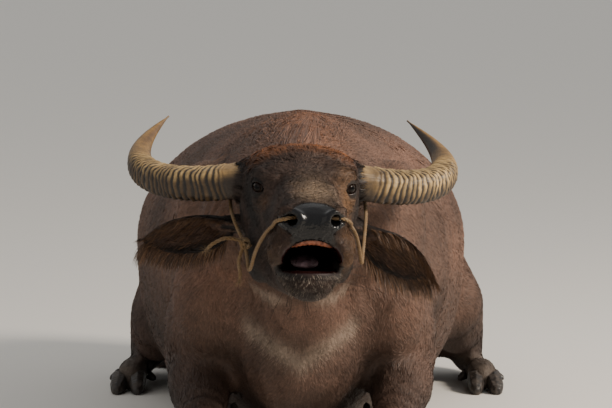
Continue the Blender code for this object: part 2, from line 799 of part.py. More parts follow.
def union_all(name, core, pieces):
    """One union on a collection, applied, with the collection's objects then removed."""
    group = bpy.data.collections.new(name + "_pieces")
    bpy.context.scene.collection.children.link(group)
    for piece in pieces:
        group.objects.link(piece)
        bpy.context.scene.collection.objects.unlink(piece)
    join = core.modifiers.new("Join", "BOOLEAN")
    join.operation = "UNION"
    join.solver = "EXACT"
    join.operand_type = "COLLECTION"
    join.collection = group
    settle(core)
    for piece in list(group.objects):
        bpy.data.objects.remove(piece)
    bpy.data.collections.remove(group)
    core.name = name
    return keep_largest(core)


def make_switch(tail, points):
    """The brush of long hair at the tail's end, laid on the floor in two tiers that overlap."""
    end = points[-1]
    way = (points[-1] - points[-3]).normalized()
    up = Vector((0, 0, 1))
    across = way.cross(up).normalized()
    core = bone(end - way * 0.055, end + way * 0.080, *SWITCH_CORE, around=8, steps=2)
    draw = random.Random(7)
    pieces = []
    for k in range(SWITCH_LOCKS):
        spread = 2 * k / (SWITCH_LOCKS - 1) - 1
        tier = k % 2
        start = end + way * (0.034 * tier - 0.030 + draw.uniform(-0.006, 0.006)) + across * spread * 0.007
        start.z += 0.005 * tier
        heading = way + across * spread * SWITCH_SPREAD + up * 0.05 * tier
        length = SWITCH_LENGTH * draw.uniform(0.84, 1.0) * (1 - 0.20 * abs(spread))
        curl = SWITCH_CURL * (draw.uniform(-0.4, 0.4) - 0.5 * spread)
        pieces.append(lock(start, heading, up, length, SWITCH_LOCK_WIDTH, 0.012, curl, rings=5, floor=0.0008))
    switch = union_all("tail_switch", core, pieces)
    return trim(switch, tail)


# Head, in its own frame: x to the animal's left, y backward from the poll, z above the chin

def in_head(lateral, forward, height):
    return Vector((lateral, -forward, height))


def head_place():
    turn = Matrix.Rotation(HEAD_YAW, 4, "Z") @ Matrix.Rotation(HEAD_ROLL, 4, "Y")
    return Matrix.Translation((HEAD_SHIFT, POLL_Y, CHIN_HEIGHT)) @ turn


def placed(item):
    """Carries a piece from the head's own frame into place."""
    return moved(item, head_place())


def eye_centre(side):
    return in_head(EYE.x * side, EYE.y, EYE.z)


def gaze(side):
    return Vector((EYE_GAZE.x * side, -EYE_GAZE.y, EYE_GAZE.z))


def skull_pieces():
    """The head's large forms."""
    at = lambda forward, height: in_head(0, forward, height)
    pieces = [
        along_y("skull", HEAD_STATIONS, at, around=40),
        along_y("mandible", JAW_STATIONS, at, around=32),
    ]
    pieces += [mass(in_head(*centre), radii, tilt) for centre, radii, tilt in SKULL_MASSES]
    for side in (1, -1):
        for centre, radii, tilt in SKULL_SIDE_MASSES:
            row = (in_head(*centre), radii, tilt)
            pieces.append(side_mass(row, side))
        for start, end, thick, thin in SKULL_SIDE_LIMBS:
            ends = [mirrored(in_head(*point), side) for point in (start, end)]
            pieces.append(bone(*ends, thick, thin))
    return pieces


def arch(keys, radius):
    """A lip or rim whose keys are given from one side to the middle, and mirrored."""
    whole = list(keys) + [(-x, f, z) for x, f, z in reversed(keys[:-1])]
    return arc_tube([in_head(*row) for row in whole], radius)


def eye_turn(side):
    """Places a body made round the origin, looking along +Y, in the eye's socket."""
    turn = gaze(side).to_track_quat("Y", "Z").to_matrix().to_4x4()
    slant = Matrix.Rotation(EYE_SLANT * side, 4, "Y")
    return Matrix.Translation(eye_centre(side)) @ turn @ slant


def lid_bead(side, rise):
    """The thick edge of one eyelid, from corner to corner over the eyeball."""
    keys = []
    count = 8
    reach = EYE_RADIUS + LID / 2
    for k in range(count + 1):
        share = 2 * k / count - 1
        across = LID_HALF_WIDTH * share
        height = rise * (1 - share * share)
        out = math.sqrt(max(0.0, reach ** 2 - across ** 2 - height ** 2))
        keys.append(eye_turn(side) @ Vector((across, out, height)))
    return arc_tube([tuple(key) for key in keys], LID_BEAD, steps=1)


def head_details():
    """Lips, nostril rims and eyelids, with crisper forms than the bone and muscle under them."""
    pieces = [arch(UPPER_LIP, 0.0160), arch(LOWER_LIP, 0.0140)]
    for side in (1, -1):
        for keys, radius in ((NOSTRIL_RIM, 0.0085), (BROW_FOLD, 0.0110), (CHEEK_FOLD, 0.0070)):
            pieces.append(arc_tube([mirrored(in_head(*row), side) for row in keys], radius))
        pieces.append(mass(eye_centre(side), [EYE_RADIUS + LID] * 3))
        pieces += [lid_bead(side, LID_RISE), lid_bead(side, -LID_RISE)]
    return pieces


def nostril_cutters(side):
    """A round well that runs in and back, and the slit that trails from it."""
    place = lambda x, f, z: in_head(x * side, f, z)
    return [
        bone(place(0.049, 0.500, 0.108), place(0.027, 0.425, 0.112), 0.0130, 0.009, around=12, steps=2),
        bone(place(0.052, 0.487, 0.110), place(0.073, 0.452, 0.109), 0.0068, 0.0040, around=8, steps=2),
    ]


def eye_cutters(side):
    """The socket, and the almond opening between the lids, which is where two rounds overlap."""
    eye = eye_centre(side)
    socket = mass(eye, [EYE_RADIUS + GAP] * 3, around=12)
    lenses = [mass((0, EYE_RADIUS, drop), EYE_LENS, around=14) for drop in (EYE_LENS_DROP, -EYE_LENS_DROP)]
    opening = combine(lenses[0], lenses[1], "INTERSECT")
    return [socket, moved(opening, eye_turn(side))]


def make_head():
    large = [placed(piece) for piece in skull_pieces()]
    large.append(along_y("neck", NECK_STATIONS, lambda y, z: Vector((0, y, z))))
    flesh = skin_over("head", large, *LARGE_HEAD_SKIN)
    fine = [placed(piece) for piece in head_details()]
    voxel, smoothing, triangles = HEAD_SKIN
    head = skin_over("head", [flesh] + fine, voxel, smoothing)
    cut(head, block((-1, NECK_CUT_Y + 0.03, -1), (1, 1, 2)))
    keep_largest(head)
    thin_out(head, triangles)
    mouth = along_y("mouth", MOUTH_STATIONS, lambda f, z: in_head(0, f, z), around=20, steps=2)
    cut(head, placed(mouth))
    for side in (1, -1):
        for cutter in nostril_cutters(side) + eye_cutters(side):
            cut(head, placed(cutter))
    cut(head, block((-1, NECK_CUT_Y, -1), (1, 1, 2)))
    return keep_largest(head)


def part_jaw(head):
    """Parts the lower jaw from the head along the line of the mouth, back to the throat."""
    jaw = copied(head, "lower_jaw")
    cut(jaw, placed(block((-1, -1, MOUTH_LEVEL), (1, 1, 1))))
    keep_largest(jaw)
    cut(head, placed(block((-1, -1, -1), (1, 1, MOUTH_LEVEL + GAP))))
    keep_largest(head)
    return jaw


def make_tongue(head, jaw):
    tongue = placed(mass(in_head(-0.010, 0.372, 0.011), (0.030, 0.070, 0.013), around=14))
    tongue.name = "tongue"
    return trim(tongue, jaw, head)


def make_dental_pad(head):
    """The toothless pad behind the upper lip."""
    pad = placed(arc_tube([in_head(*row) for row in DENTAL_PAD], 0.0110, steps=2, around=10))
    pad.name = "dental_pad"
    return trim(pad, head)


def bent(values, share):
    """A value eased through three, at the root, the middle and the tip."""
    low, middle, high = values
    rest = 1 - share
    return low * rest * (1 - 2 * share) + 4 * middle * share * rest + high * share * (2 * share - 1)


def horn_path():
    """Centres, headings and shares along a crescent that turns back and rises as it goes."""
    steps = 220
    stride = (HORN_LENGTH + HORN_ROOT) / steps
    at = HORN_BASE.copy()
    path = []
    for k in range(steps + 1):
        share = max(0.0, (k * stride - HORN_ROOT) / HORN_LENGTH)
        heading = math.radians(bent(HORN_HEADING, share))
        climb = math.radians(bent(HORN_CLIMB, share))
        level = math.cos(climb)
        way = Vector((math.cos(heading) * level, math.sin(heading) * level, math.sin(climb)))
        path.append((share, at.copy(), way))
        at = at + way * stride
    return path


def horn_distances():
    """Where the rings lie: two to each growth ridge, then wider apart over the smooth tip."""
    wanted = [(-HORN_ROOT, 0), (0.0, 0)]
    for ridge in range(RIDGES):
        fade = math.sin(math.pi * min(1.0, (ridge + 2.4) / (RIDGES + 2)) ** 0.8) ** 0.5
        start = RIDGE_START + ridge * RIDGE_PITCH
        wanted += [(start, -0.6 * fade), (start + RIDGE_PITCH * 0.42, 0.4 * fade)]
    after = RIDGE_START + RIDGES * RIDGE_PITCH
    rings = 9
    for k in range(rings):
        wanted.append((after + (HORN_LENGTH - after) * (k / rings) ** 0.85, 0))
    return wanted + [(HORN_LENGTH - 0.002, 0)]


def horn_section(at, outward, up, size, share, side):
    """A flattened section with a blunt outer edge, given its own side of the head."""
    flat = 1 + (HORN_FLATNESS - 1) * (1 - share)
    points = []
    around = 10
    power = 2.7 - 0.7 * share
    for k in range(around):
        angle = 2 * math.pi * (k + 0.5) / around
        c, s = math.cos(angle), math.sin(angle)
        wide = size * flat * math.copysign(abs(c) ** (2 / power), c)
        tall = size * math.copysign(abs(s) ** (2 / power), s) * (1 - 0.14 * c)
        point = at + outward * wide + up * tall
        point.x *= side
        points.append(point)
    return points


def make_horn(side, head):
    path = horn_path()
    normal = Vector((0, -math.sin(HORN_PLANE), math.cos(HORN_PLANE)))
    rings = []
    total = HORN_LENGTH + HORN_ROOT
    for distance, ridge in horn_distances():
        share, at, way = path[round((distance + HORN_ROOT) / total * (len(path) - 1))]
        size = HORN_HALF_THICKNESS * max(0.0, 1 - share ** 2.5) ** 0.95 + ridge * RIDGE_DEPTH
        up = (normal - way * normal.dot(way)).normalized()
        rings.append(horn_section(at, up.cross(way), up, max(size, 0.0024), share, side))
    horn = placed(loft("horn_left" if side > 0 else "horn_right", rings))
    return trim(horn, head)


# Ears

def ear_frame(side):
    """Root, axis, and the way the cup opens. The left ear hangs lower and further back."""
    droop = 0.54 if side > 0 else 0.10
    back = 0.42 if side > 0 else 0.14
    root = in_head(side * 0.120, -0.028, 0.047)
    axis = Vector((side, back, -droop)).normalized()
    opens = Vector((0.15 * side, -0.90, -0.42))
    opens = (opens - axis * opens.dot(axis)).normalized()
    across = axis.cross(opens) * side
    return root, axis, opens, across


def ear_point(side, along, over):
    """A point of the ear's mid surface: along from root 0 to tip 1, over from -1 to 1."""
    root, axis, opens, across = ear_frame(side)
    widest = 0.42
    if along < widest:
        half = EAR_HALF_WIDTH * (0.36 + 0.64 * math.sin(math.pi / 2 * along / widest))
    else:
        half = EAR_HALF_WIDTH * max(0.14, 1 - ((along - widest) / (1 - widest)) ** 2.6)
    depth = 0.055 * (1 - along) ** 0.7 + 0.010
    sag = depth * (over * over - 0.45) * min(1.0, half / EAR_HALF_WIDTH + 0.15)
    bend = Vector((0, 0, -0.022)) * along * along
    return root + axis * (0.018 + EAR_LENGTH * along) + across * over * half + opens * sag + bend


def ear_blade(side):
    shape = bmesh.new()
    rows, columns = 14, 10
    grid = []
    for i in range(rows + 1):
        row = [ear_point(side, i / rows, 2 * j / columns - 1) for j in range(columns + 1)]
        grid.append([shape.verts.new(point) for point in row])
    for i in range(rows):
        for j in range(columns):
            shape.faces.new((grid[i][j], grid[i][j + 1], grid[i + 1][j + 1], grid[i + 1][j]))
    blade = from_bmesh("blade", shape)
    solid = blade.modifiers.new("Thickness", "SOLIDIFY")
    solid.thickness = EAR_THICKNESS
    solid.offset = 0
    return settle(blade)


def make_ear(side, head):
    """A cupped leaf on a tapered stem, with a fringe of overlapping locks along both edges."""
    name = "ear_left" if side > 0 else "ear_right"
    root, axis, opens, _ = ear_frame(side)
    stem = bone(root - axis * EAR_ROOT, root + axis * 0.060 - opens * 0.012, *EAR_STEM)
    voxel, smoothing, triangles = EAR_SKIN
    ear = skin_over(name, [ear_blade(side), stem], voxel, smoothing)
    thin_out(ear, triangles)
    pieces = []
    draw = random.Random(11 + side)
    for edge in (-1, 1):
        for k in range(EAR_LOCKS):
            along = EAR_FRINGE[0] + (EAR_FRINGE[1] - EAR_FRINGE[0]) * k / (EAR_LOCKS - 1)
            at = ear_point(side, along, edge * EAR_LOCK_ROOT)
            line = (ear_point(side, along + 0.05, edge * EAR_LOCK_ROOT) - at).normalized()
            rim = (ear_point(side, along, edge) - at).normalized()
            length = draw.uniform(*EAR_LOCK_LENGTHS) * (1 - 0.25 * along)
            way = line + rim * EAR_LOCK_TURN
            pieces.append(lock(at, way, line.cross(rim), length, EAR_LOCK_WIDTH, 0.005, 0.0))
    union_all(name, ear, pieces)
    return trim(placed(ear), head)


def make_eye(side):
    eye = placed(mass(eye_centre(side), [EYE_RADIUS] * 3, around=12))
    eye.name = "eye_left" if side > 0 else "eye_right"
    return eye


# Halter: one rope over the nape, down both cheeks and through the nose, tied under the right cheek

def is_inside(tree, point):
    """Whether a ray from the point leaves the closed mesh an odd number of times."""
    way = Vector((0.31, 0.52, 0.795))
    hits = 0
    at = point
    for _ in range(12):
        at, _, index, _ = tree.ray_cast(at + way * 1e-5, way)
        if index is None:
            break
        hits += 1
    return hits % 2 == 1


def laid_on(items, points, clearance):
    """Pushes points out of the flesh until they clear it."""
    trees = []
    for item in items:
        corners = [vert.co for vert in item.data.vertices]
        trees.append(BVHTree.FromPolygons(corners, [face.vertices for face in item.data.polygons]))
    cleared = []
    for point in points:
        for _ in range(3):
            for tree in trees:
                near, normal, _, distance = tree.find_nearest(point)
                if is_inside(tree, point) or distance < clearance:
                    point = near + normal * clearance
        cleared.append(point)
    return cleared


ROPE_NAPE = (0, -0.100, 0.206)
ROPE_LEFT = (
    (0.060, -0.098, 0.196),
    (0.115, -0.085, 0.165),
    (0.142, -0.050, 0.118),
    (0.146, -0.010, 0.088),
    (0.143, 0.040, 0.066),
    (0.136, 0.100, 0.036),
    (0.128, 0.165, 0.006),
    (0.124, 0.200, -0.007),
    (0.119, 0.228, 0.002),
    (0.112, 0.275, 0.026),
    (0.102, 0.340, 0.054),
    (0.088, 0.405, 0.082),
    (0.072, 0.448, 0.100),
    (0.058, 0.478, 0.110),
    (0.040, 0.466, 0.112),
)
ROPE_RIGHT = (
    (0.060, -0.098, 0.196),
    (0.115, -0.085, 0.165),
    (0.142, -0.050, 0.118),
    (0.146, -0.010, 0.088),
    (0.141, 0.040, 0.064),
    (0.130, 0.100, 0.038),
    (0.120, 0.145, 0.022),
    (0.116, 0.195, -0.024),
    (0.112, 0.232, -0.014),
    (0.108, 0.275, 0.016),
    (0.100, 0.340, 0.050),
    (0.088, 0.405, 0.080),
    (0.072, 0.448, 0.100),
    (0.058, 0.478, 0.110),
    (0.040, 0.466, 0.112),
)
KNOT_KEY = 6
KNOT_END_ASIDE = (
    (-0.012, -0.010, 0.008),
    (-0.040, -0.028, 0.014),
    (-0.066, -0.036, 0.004),
    (-0.082, -0.038, -0.010),
)
KNOT_END_DOWN = (
    (-0.006, -0.006, -0.012),
    (-0.013, -0.012, -0.038),
    (-0.010, -0.018, -0.062),
    (-0.012, -0.020, -0.080),
)


def rope_points():
    """From the knot up the right cheek, over the nape, down the left one and through the nose, and back."""
    left = [in_head(*row) for row in ROPE_LEFT]
    right = [in_head(-x, f, z) for x, f, z in ROPE_RIGHT]
    septum = [in_head(0, 0.455, 0.112)]
    whole = right[: KNOT_KEY + 1][::-1] + [in_head(*ROPE_NAPE)] + left + septum + right[KNOT_KEY:][::-1]
    return [head_place() @ Vector(row) for row in through([tuple(point) for point in whole], 2)]


def make_rope(items):
    """Starts and ends in the knot, and runs through a hole in the septum."""
    points = rope_points()
    nose = head_place() @ in_head(0, 0.47, 0.11)
    outside = [point for point in points if (point - nose).length > NOSE_REACH]
    cleared = iter(laid_on(items, outside, ROPE_CLEARANCE))
    points = [next(cleared) if (point - nose).length > NOSE_REACH else point for point in points]
    for item in items:
        cut(item, tube("groove", points, [ROPE_GROOVE] * len(points), around=6))
        keep_largest(item)
    return tube("halter_rope", points, [ROPE_RADIUS] * len(points), around=6), points


def make_knot(points, rope, items):
    """Two turns of rope round the rope itself, and two loose ends."""
    at = points[0]
    pieces = [mass(at, (0.012, 0.014, 0.015)), mass(at + Vector((0, -0.007, 0.011)), (0.011, 0.011, 0.010))]
    for end in (KNOT_END_ASIDE, KNOT_END_DOWN):
        keys = [tuple(at)] + [tuple(at + Vector(shift)) for shift in end]
        route = [Vector(row) for row in through(keys, 3)]
        pieces.append(tube("end", route, [ROPE_RADIUS] * len(route), around=10))
    voxel, smoothing, triangles = KNOT_SKIN
    knot = skin_over("halter_knot", pieces, voxel, smoothing)
    thin_out(knot, triangles)
    for item in (rope, *items):
        cut(item, grown_copy(knot))
        keep_largest(item)
    return knot


# Whole animal

def centre_on_origin():
    """Moves everything so that the middle of the footprint is the origin, at floor level."""
    bpy.context.view_layer.update()
    low = Vector((1e9, 1e9, 1e9))
    high = -low
    items = [item for item in bpy.context.scene.objects if item.type == "MESH"]
    for item in items:
        for vert in item.data.vertices:
            low = Vector(map(min, low, vert.co))
            high = Vector(map(max, high, vert.co))
    shift = Vector((-(low.x + high.x) / 2, -(low.y + high.y) / 2, -low.z))
    for item in items:
        moved(item, Matrix.Translation(shift))
    return shift


def main():
    clear_scene()
    trunk, neck, legs = part_flesh(make_flesh())
    for side in (1, -1):
        make_foot(foreleg_joints(side), side, "fore", legs["fore", side])
        make_foot(hindleg_joints(side), side, "hind", legs["hind", side])
    tail, line = make_tail(trunk)
    switch = make_switch(tail, line)

    head = make_head()
    jaw = part_jaw(head)
    ears = [make_ear(side, head) for side in (1, -1)]
    horns = [make_horn(side, head) for side in (1, -1)]
    for ear in ears:
        trim(ear, *horns)
    rope, points = make_rope([head, jaw, neck, *horns, *ears])
    knot = make_knot(points, rope, [head, jaw])
    for item in (rope, *ears, *horns):
        keep_largest(item)
    tongue = make_tongue(head, jaw)
    pad = make_dental_pad(head)
    eyes = [make_eye(side) for side in (1, -1)]

    for item in [trunk, neck, head, jaw, tail, *legs.values(), *ears]:
        finish(item, "hide")
    for item in (tongue, pad):
        finish(item, "muzzle_mouth")
    for item in horns:
        finish(item, "horn")
    for item in eyes:
        finish(item, "eye")
    for item in (rope, knot):
        finish(item, "rope")
    finish(switch, "long_hair")
    return centre_on_origin()


FINAL_SHIFT = main()
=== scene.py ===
import math

import bmesh
import bpy
import numpy as np
from mathutils import Matrix, Vector
from mathutils.bvhtree import BVHTree


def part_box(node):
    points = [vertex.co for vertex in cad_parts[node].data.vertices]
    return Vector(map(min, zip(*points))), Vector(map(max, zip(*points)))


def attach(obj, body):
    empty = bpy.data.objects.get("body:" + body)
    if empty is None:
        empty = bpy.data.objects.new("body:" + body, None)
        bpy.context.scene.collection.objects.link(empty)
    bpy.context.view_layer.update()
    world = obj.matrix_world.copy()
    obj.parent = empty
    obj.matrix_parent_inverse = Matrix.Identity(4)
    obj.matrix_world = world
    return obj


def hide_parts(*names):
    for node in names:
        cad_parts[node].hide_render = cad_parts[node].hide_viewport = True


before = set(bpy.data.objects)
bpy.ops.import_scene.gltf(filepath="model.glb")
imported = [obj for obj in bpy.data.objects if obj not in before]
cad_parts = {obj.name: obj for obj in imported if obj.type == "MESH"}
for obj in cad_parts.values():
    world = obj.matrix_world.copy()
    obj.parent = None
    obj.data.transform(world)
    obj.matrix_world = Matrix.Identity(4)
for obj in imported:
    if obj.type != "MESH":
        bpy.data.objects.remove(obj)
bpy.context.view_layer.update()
draw = np.random.default_rng(29)  # every random choice comes from here
print("frame loaded, seen from in front: a resting water buffalo")

# Where the head sits. It matches the solids: lateral, forward of the poll, above the chin.
head = dict(yaw=3.8, roll=1.4, poll=(-0.0053, -1.15, 0.51), eye=(0.0885, 0.164, 0.146), eyeRadius=0.0205)


def inHead(lateral, forward, height):
    return Vector((lateral, -forward, height))


headTurn = Matrix.Rotation(math.radians(head["yaw"]), 4, "Z") @ Matrix.Rotation(math.radians(head["roll"]), 4, "Y")
eyeLow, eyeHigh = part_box("eye_left")
bodyShift = (eyeLow + eyeHigh) / 2 - (Matrix.Translation(head["poll"]) @ headTurn) @ inHead(*head["eye"])
headPlace = Matrix.Translation(bodyShift) @ Matrix.Translation(head["poll"]) @ headTurn
headInverse = np.array(headPlace.inverted())
headMatrix = np.array(headPlace)
shiftBack = np.array(bodyShift)


# Camera, at the photograph's height and angle
lens = dict(place=(0.013, -10.1, 1.46), downward=5.45, focal=244.8)


def makeCamera():
    shape = bpy.data.cameras.new("camera")
    shape.lens = lens["focal"]
    shape.clip_end = 200
    camera = bpy.data.objects.new("camera", shape)
    bpy.context.scene.collection.objects.link(camera)
    camera.location = Vector(lens["place"]) + bodyShift
    camera.rotation_euler = (math.radians(90 - lens["downward"]), 0, 0)
    bpy.context.scene.camera = camera


makeCamera()


# Colour, and one function that adds a shader node

def tone(hexColour):
    values = [int(hexColour[k:k + 2], 16) / 255 for k in (1, 3, 5)]
    return np.array([v / 12.92 if v <= 0.04045 else ((v + 0.055) / 1.055) ** 2.4 for v in values])


def rgba(hexColour):
    return (*tone(hexColour), 1.0)


def add(tree, kind, links=None, **settings):
    made = tree.nodes.new("ShaderNode" + kind)
    for name, value in settings.items():
        setattr(made, name, value)
    for socket, value in (links or {}).items():
        if isinstance(value, bpy.types.NodeSocket):
            tree.links.new(value, made.inputs[socket])
        else:
            made.inputs[socket].default_value = value
    return made


def newMaterial(name, **sockets):
    made = bpy.data.materials.new(name)
    made.use_nodes = True
    shader = made.node_tree.nodes["Principled BSDF"]
    for socket, value in sockets.items():
        shader.inputs[socket.replace("_", " ")].default_value = value
    return made, made.node_tree, shader


def blended(tree, share, low, high, how="MIX"):
    made = add(tree, "Mix", {0: share, 6: low, 7: high}, data_type="RGBA", blend_type=how)
    return made.outputs[2]


def attribute(tree, name):
    return add(tree, "Attribute", attribute_name=name)


# Small numeric tools

def soft(value, low, high):
    t = np.clip((value - low) / (high - low), 0, 1)
    return t * t * (3 - 2 * t)


def hill(points, centre, sizes):
    return np.exp(-(((points - np.array(centre)) / np.array(sizes)) ** 2).sum(axis=1))


def mixed(low, high, share):
    return low + (high - low) * np.asarray(share)[..., None]


def ripple(points, size, seed, waves=6):
    """Smooth noise from -1 to 1, with features about that big."""
    own = np.random.default_rng(seed)
    total = np.zeros(len(points))
    for _ in range(waves):
        way = own.normal(size=3)
        way *= 2 * math.pi / (size * own.uniform(0.8, 1.6)) / np.linalg.norm(way)
        total += np.sin(points @ way + own.uniform(0, 2 * math.pi))
    return total / waves ** 0.5 / 1.4


def toHead(points):
    """Lateral, forward of the poll and above the chin, for world points."""
    local = points @ headInverse[:3, :3].T + headInverse[:3, 3]
    return local * np.array([1, -1, 1])


def fromHead(points):
    return (np.asarray(points) * np.array([1, -1, 1])) @ headMatrix[:3, :3].T + headMatrix[:3, 3]


def turnFromHead(vectors):
    return (np.asarray(vectors) * np.array([1, -1, 1])) @ headMatrix[:3, :3].T


def unit(vectors):
    return vectors / np.maximum(np.linalg.norm(vectors, axis=-1, keepdims=True), 1e-9)


def through(keys, steps):
    """Points on a smooth curve through the keys."""
    keys = np.asarray(keys, float)
    padded = np.vstack([keys[:1], keys, keys[-1:]])
    rows = []
    for k in range(len(keys) - 1):
        p0, p1, p2, p3 = padded[k:k + 4]
        for t in np.arange(steps) / steps:
            rows.append(0.5 * (2 * p1 + (p2 - p0) * t + (2 * p0 - 5 * p1 + 4 * p2 - p3) * t * t + (3 * p1 - p0 - 3 * p2 + p3) * t ** 3))
    rows.append(keys[-1])
    return np.array(rows)


# Mesh tools

def linked(name, mesh):
    made = bpy.data.objects.new(name, mesh)
    bpy.context.scene.collection.objects.link(made)
    return made


def meshFrom(name, points, triangles=None, quads=None):
    """A mesh object from arrays of points, triangles and quads."""
    parts = [(a, n) for a, n in ((triangles, 3), (quads, 4)) if a is not None and len(a)]
    mesh = bpy.data.meshes.new(name)
    mesh.vertices.add(len(points))
    mesh.vertices.foreach_set("co", np.ascontiguousarray(points, np.float32).ravel())
    corners = np.concatenate([np.asarray(a, np.int32).ravel() for a, n in parts])
    sides = np.concatenate([np.full(len(a), n, np.int32) for a, n in parts])
    mesh.loops.add(len(corners))
    mesh.loops.foreach_set("vertex_index", corners)
    mesh.polygons.add(len(sides))
    mesh.polygons.foreach_set("loop_start", np.concatenate([[0], np.cumsum(sides)[:-1]]).astype(np.int32))
    mesh.update(calc_edges=True)
    mesh.shade_smooth()
    return linked(name, mesh)


def pointsOf(item):
    points = np.empty(len(item.data.vertices) * 3, np.float32)
    item.data.vertices.foreach_get("co", points)
    return points.reshape(-1, 3).astype(float)


def setPoints(item, points):
    item.data.vertices.foreach_set("co", np.ascontiguousarray(points, np.float32).ravel())
    item.data.update()


def normalsOf(item):
    normals = np.empty(len(item.data.vertices) * 3, np.float32)
    item.data.vertex_normals.foreach_get("vector", normals)
    return normals.reshape(-1, 3).astype(float)


def trianglesOf(item):
    item.data.calc_loop_triangles()
    corners = np.empty(len(item.data.loop_triangles) * 3, np.int32)
    item.data.loop_triangles.foreach_get("vertices", corners)
    return corners.reshape(-1, 3)


def settled(item):
    """The object with its modifiers applied."""
    bpy.context.view_layer.update()
    mesh = bpy.data.meshes.new_from_object(item.evaluated_get(bpy.context.evaluated_depsgraph_get()))
    old = item.data
    item.modifiers.clear()
    item.data = mesh
    bpy.data.meshes.remove(old)
    return item


def joined(name, items):
    """One object from several, which are removed."""
    shape = bmesh.new()
    for item in items:
        shape.from_mesh(item.data)
        bpy.data.objects.remove(item)
    mesh = bpy.data.meshes.new(name)
    shape.to_mesh(mesh)
    shape.free()
    return linked(name, mesh)


def remeshed(item, voxel):
    skin = item.modifiers.new("skin", "REMESH")
    skin.mode = "VOXEL"
    skin.voxel_size = voxel
    return settled(item)


def boolean(item, other, operation):
    step = item.modifiers.new("step", "BOOLEAN")
    step.operation = operation
    step.solver = "MANIFOLD"
    step.object = other
    settled(item)
    bpy.data.objects.remove(other)
    return item


def smoothed(item, rounds, weights, spread=0.5, back=-0.53):
    """Softens facets and keeps the volume. weights is each point's share, from 0 to 1."""
    points = pointsOf(item)
    edges = np.empty(len(item.data.edges) * 2, np.int32)
    item.data.edges.foreach_get("vertices", edges)
    a, b = edges.reshape(-1, 2).T
    count = len(points)
    near = np.maximum(np.bincount(a, minlength=count) + np.bincount(b, minlength=count), 1)
    share = np.broadcast_to(np.reshape(weights, (-1, 1)), (count, 1))
    for step in range(rounds * (2 if back else 1)):
        mean = np.empty_like(points)
        for axis in range(3):
            total = np.bincount(a, points[b, axis], count) + np.bincount(b, points[a, axis], count)
            mean[:, axis] = total / near
        points += (mean - points) * share * (back if back and step % 2 else spread)
    setPoints(item, points)
    return item


def ovalRing(at, right, up, wide, tall, around, power=2.0):
    angle = 2 * math.pi * np.arange(around) / around
    c, s = np.cos(angle), np.sin(angle)
    x = np.sign(c) * np.abs(c) ** (2 / power) * wide
    y = np.sign(s) * np.abs(s) ** (2 / power) * tall
    return np.asarray(at) + x[:, None] * np.asarray(right) + y[:, None] * np.asarray(up)


def lofted(name, rings):
    """A closed body over a stack of rings."""
    rings = np.asarray(rings)
    rows, around = rings.shape[:2]
    index = np.arange(rows * around).reshape(rows, around)
    nextOne = np.roll(index, -1, axis=1)
    quads = np.stack([index[:-1], nextOne[:-1], nextOne[1:], index[1:]], axis=-1).reshape(-1, 4)
    ends = []
    points = [rings.reshape(-1, 3)]
    for row, order in ((0, -1), (rows - 1, 1)):
        tip = rows * around + len(ends)
        points.append(rings[row].mean(axis=0)[None])
        ring = np.stack([index[row], nextOne[row]], axis=1)[:, ::order]
        ends.append(np.column_stack([ring, np.full(around, tip)]))
    points, ends = np.vstack(points), np.vstack(ends)
    faces = np.vstack([ends, quads[:, :3], quads[:, [0, 2, 3]]])
    middle = points.mean(axis=0)
    if np.linalg.det(points[faces] - middle).sum() < 0:  # faces look outward, whichever way the rings turn
        ends, quads = ends[:, ::-1], quads[:, ::-1]
    return meshFrom(name, points, ends, quads)


def tubeRings(points, radii, around=10):
    """Rings along a line, turned with the least twist."""
    points = np.asarray(points, float)
    ways = unit(np.gradient(points, axis=0))
    right = np.array(Vector(ways[0]).orthogonal().normalized())
    rings = []
    for at, way, radius in zip(points, ways, np.broadcast_to(radii, len(points))):
        right = unit(right - way * (right @ way))
        rings.append(ovalRing(at, right, np.cross(way, right), radius, radius, around))
    return np.array(rings)


def ball(centre, radii, around=32):
    shape = bmesh.new()
    bmesh.ops.create_uvsphere(shape, u_segments=around, v_segments=around * 5 // 8, radius=1)
    mesh = bpy.data.meshes.new("ball")
    bmesh.ops.transform(shape, matrix=Matrix.LocRotScale(Vector(centre), None, Vector(radii)), verts=shape.verts)
    shape.to_mesh(mesh)
    shape.free()
    return linked("ball", mesh)


def bead(keys, radius, steps=8, around=12, thin=0.4):
    """A rounded ridge through keys, thinner at its ends, given in the head's own frame."""
    points = fromHead(through(keys, steps))
    share = np.arange(len(points)) / (len(points) - 1)
    return lofted("bead", tubeRings(points, radius * (thin + (1 - thin) * np.sin(np.pi * share) ** 0.5), around))


def dress(item, material, slot, *nodes):
    """Gives a finished piece its material and its body, and hides the solids that it stands for; slot is not used."""
    item.data.materials.clear()
    item.data.materials.append(material)
    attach(item, "root")
    if nodes:
        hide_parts(*nodes)
    return item


def floatAttribute(item, name, values):
    made = item.data.attributes.new(name, "FLOAT", "POINT")
    made.data.foreach_set("value", np.ascontiguousarray(values, np.float32))


def colourAttribute(item, name, colours):
    made = item.data.attributes.new(name, "FLOAT_COLOR", "POINT")
    four = np.column_stack([colours, np.ones(len(colours))])
    made.data.foreach_set("color", np.ascontiguousarray(four, np.float32).ravel())


# Markings, with painted light on the face's +x side. Hide and coat take their colours from here, so that they agree.
hideColours = dict(
    body="#594438", bodyDark="#2a2320", bodyPink="#7a5a4a", ridge="#7f4e2a", belly="#3a302b",
    face="#3e2e26", faceDark="#17110f", patch="#8d7862", copper="#735232", crown="#824f29",
    pad="#0c0c0e", lip="#141110", gum="#220e0e", rim="#0d0a09", earInside="#5c463b", earDark="#221a16",
    chevron="#9a8b7c", stocking="#6f655b",
)
hide = {name: tone(value) for name, value in hideColours.items()}

mouthSizes = ((0.230, 0.020), (0.290, 0.036), (0.370, 0.051), (0.450, 0.062), (0.550, 0.064))


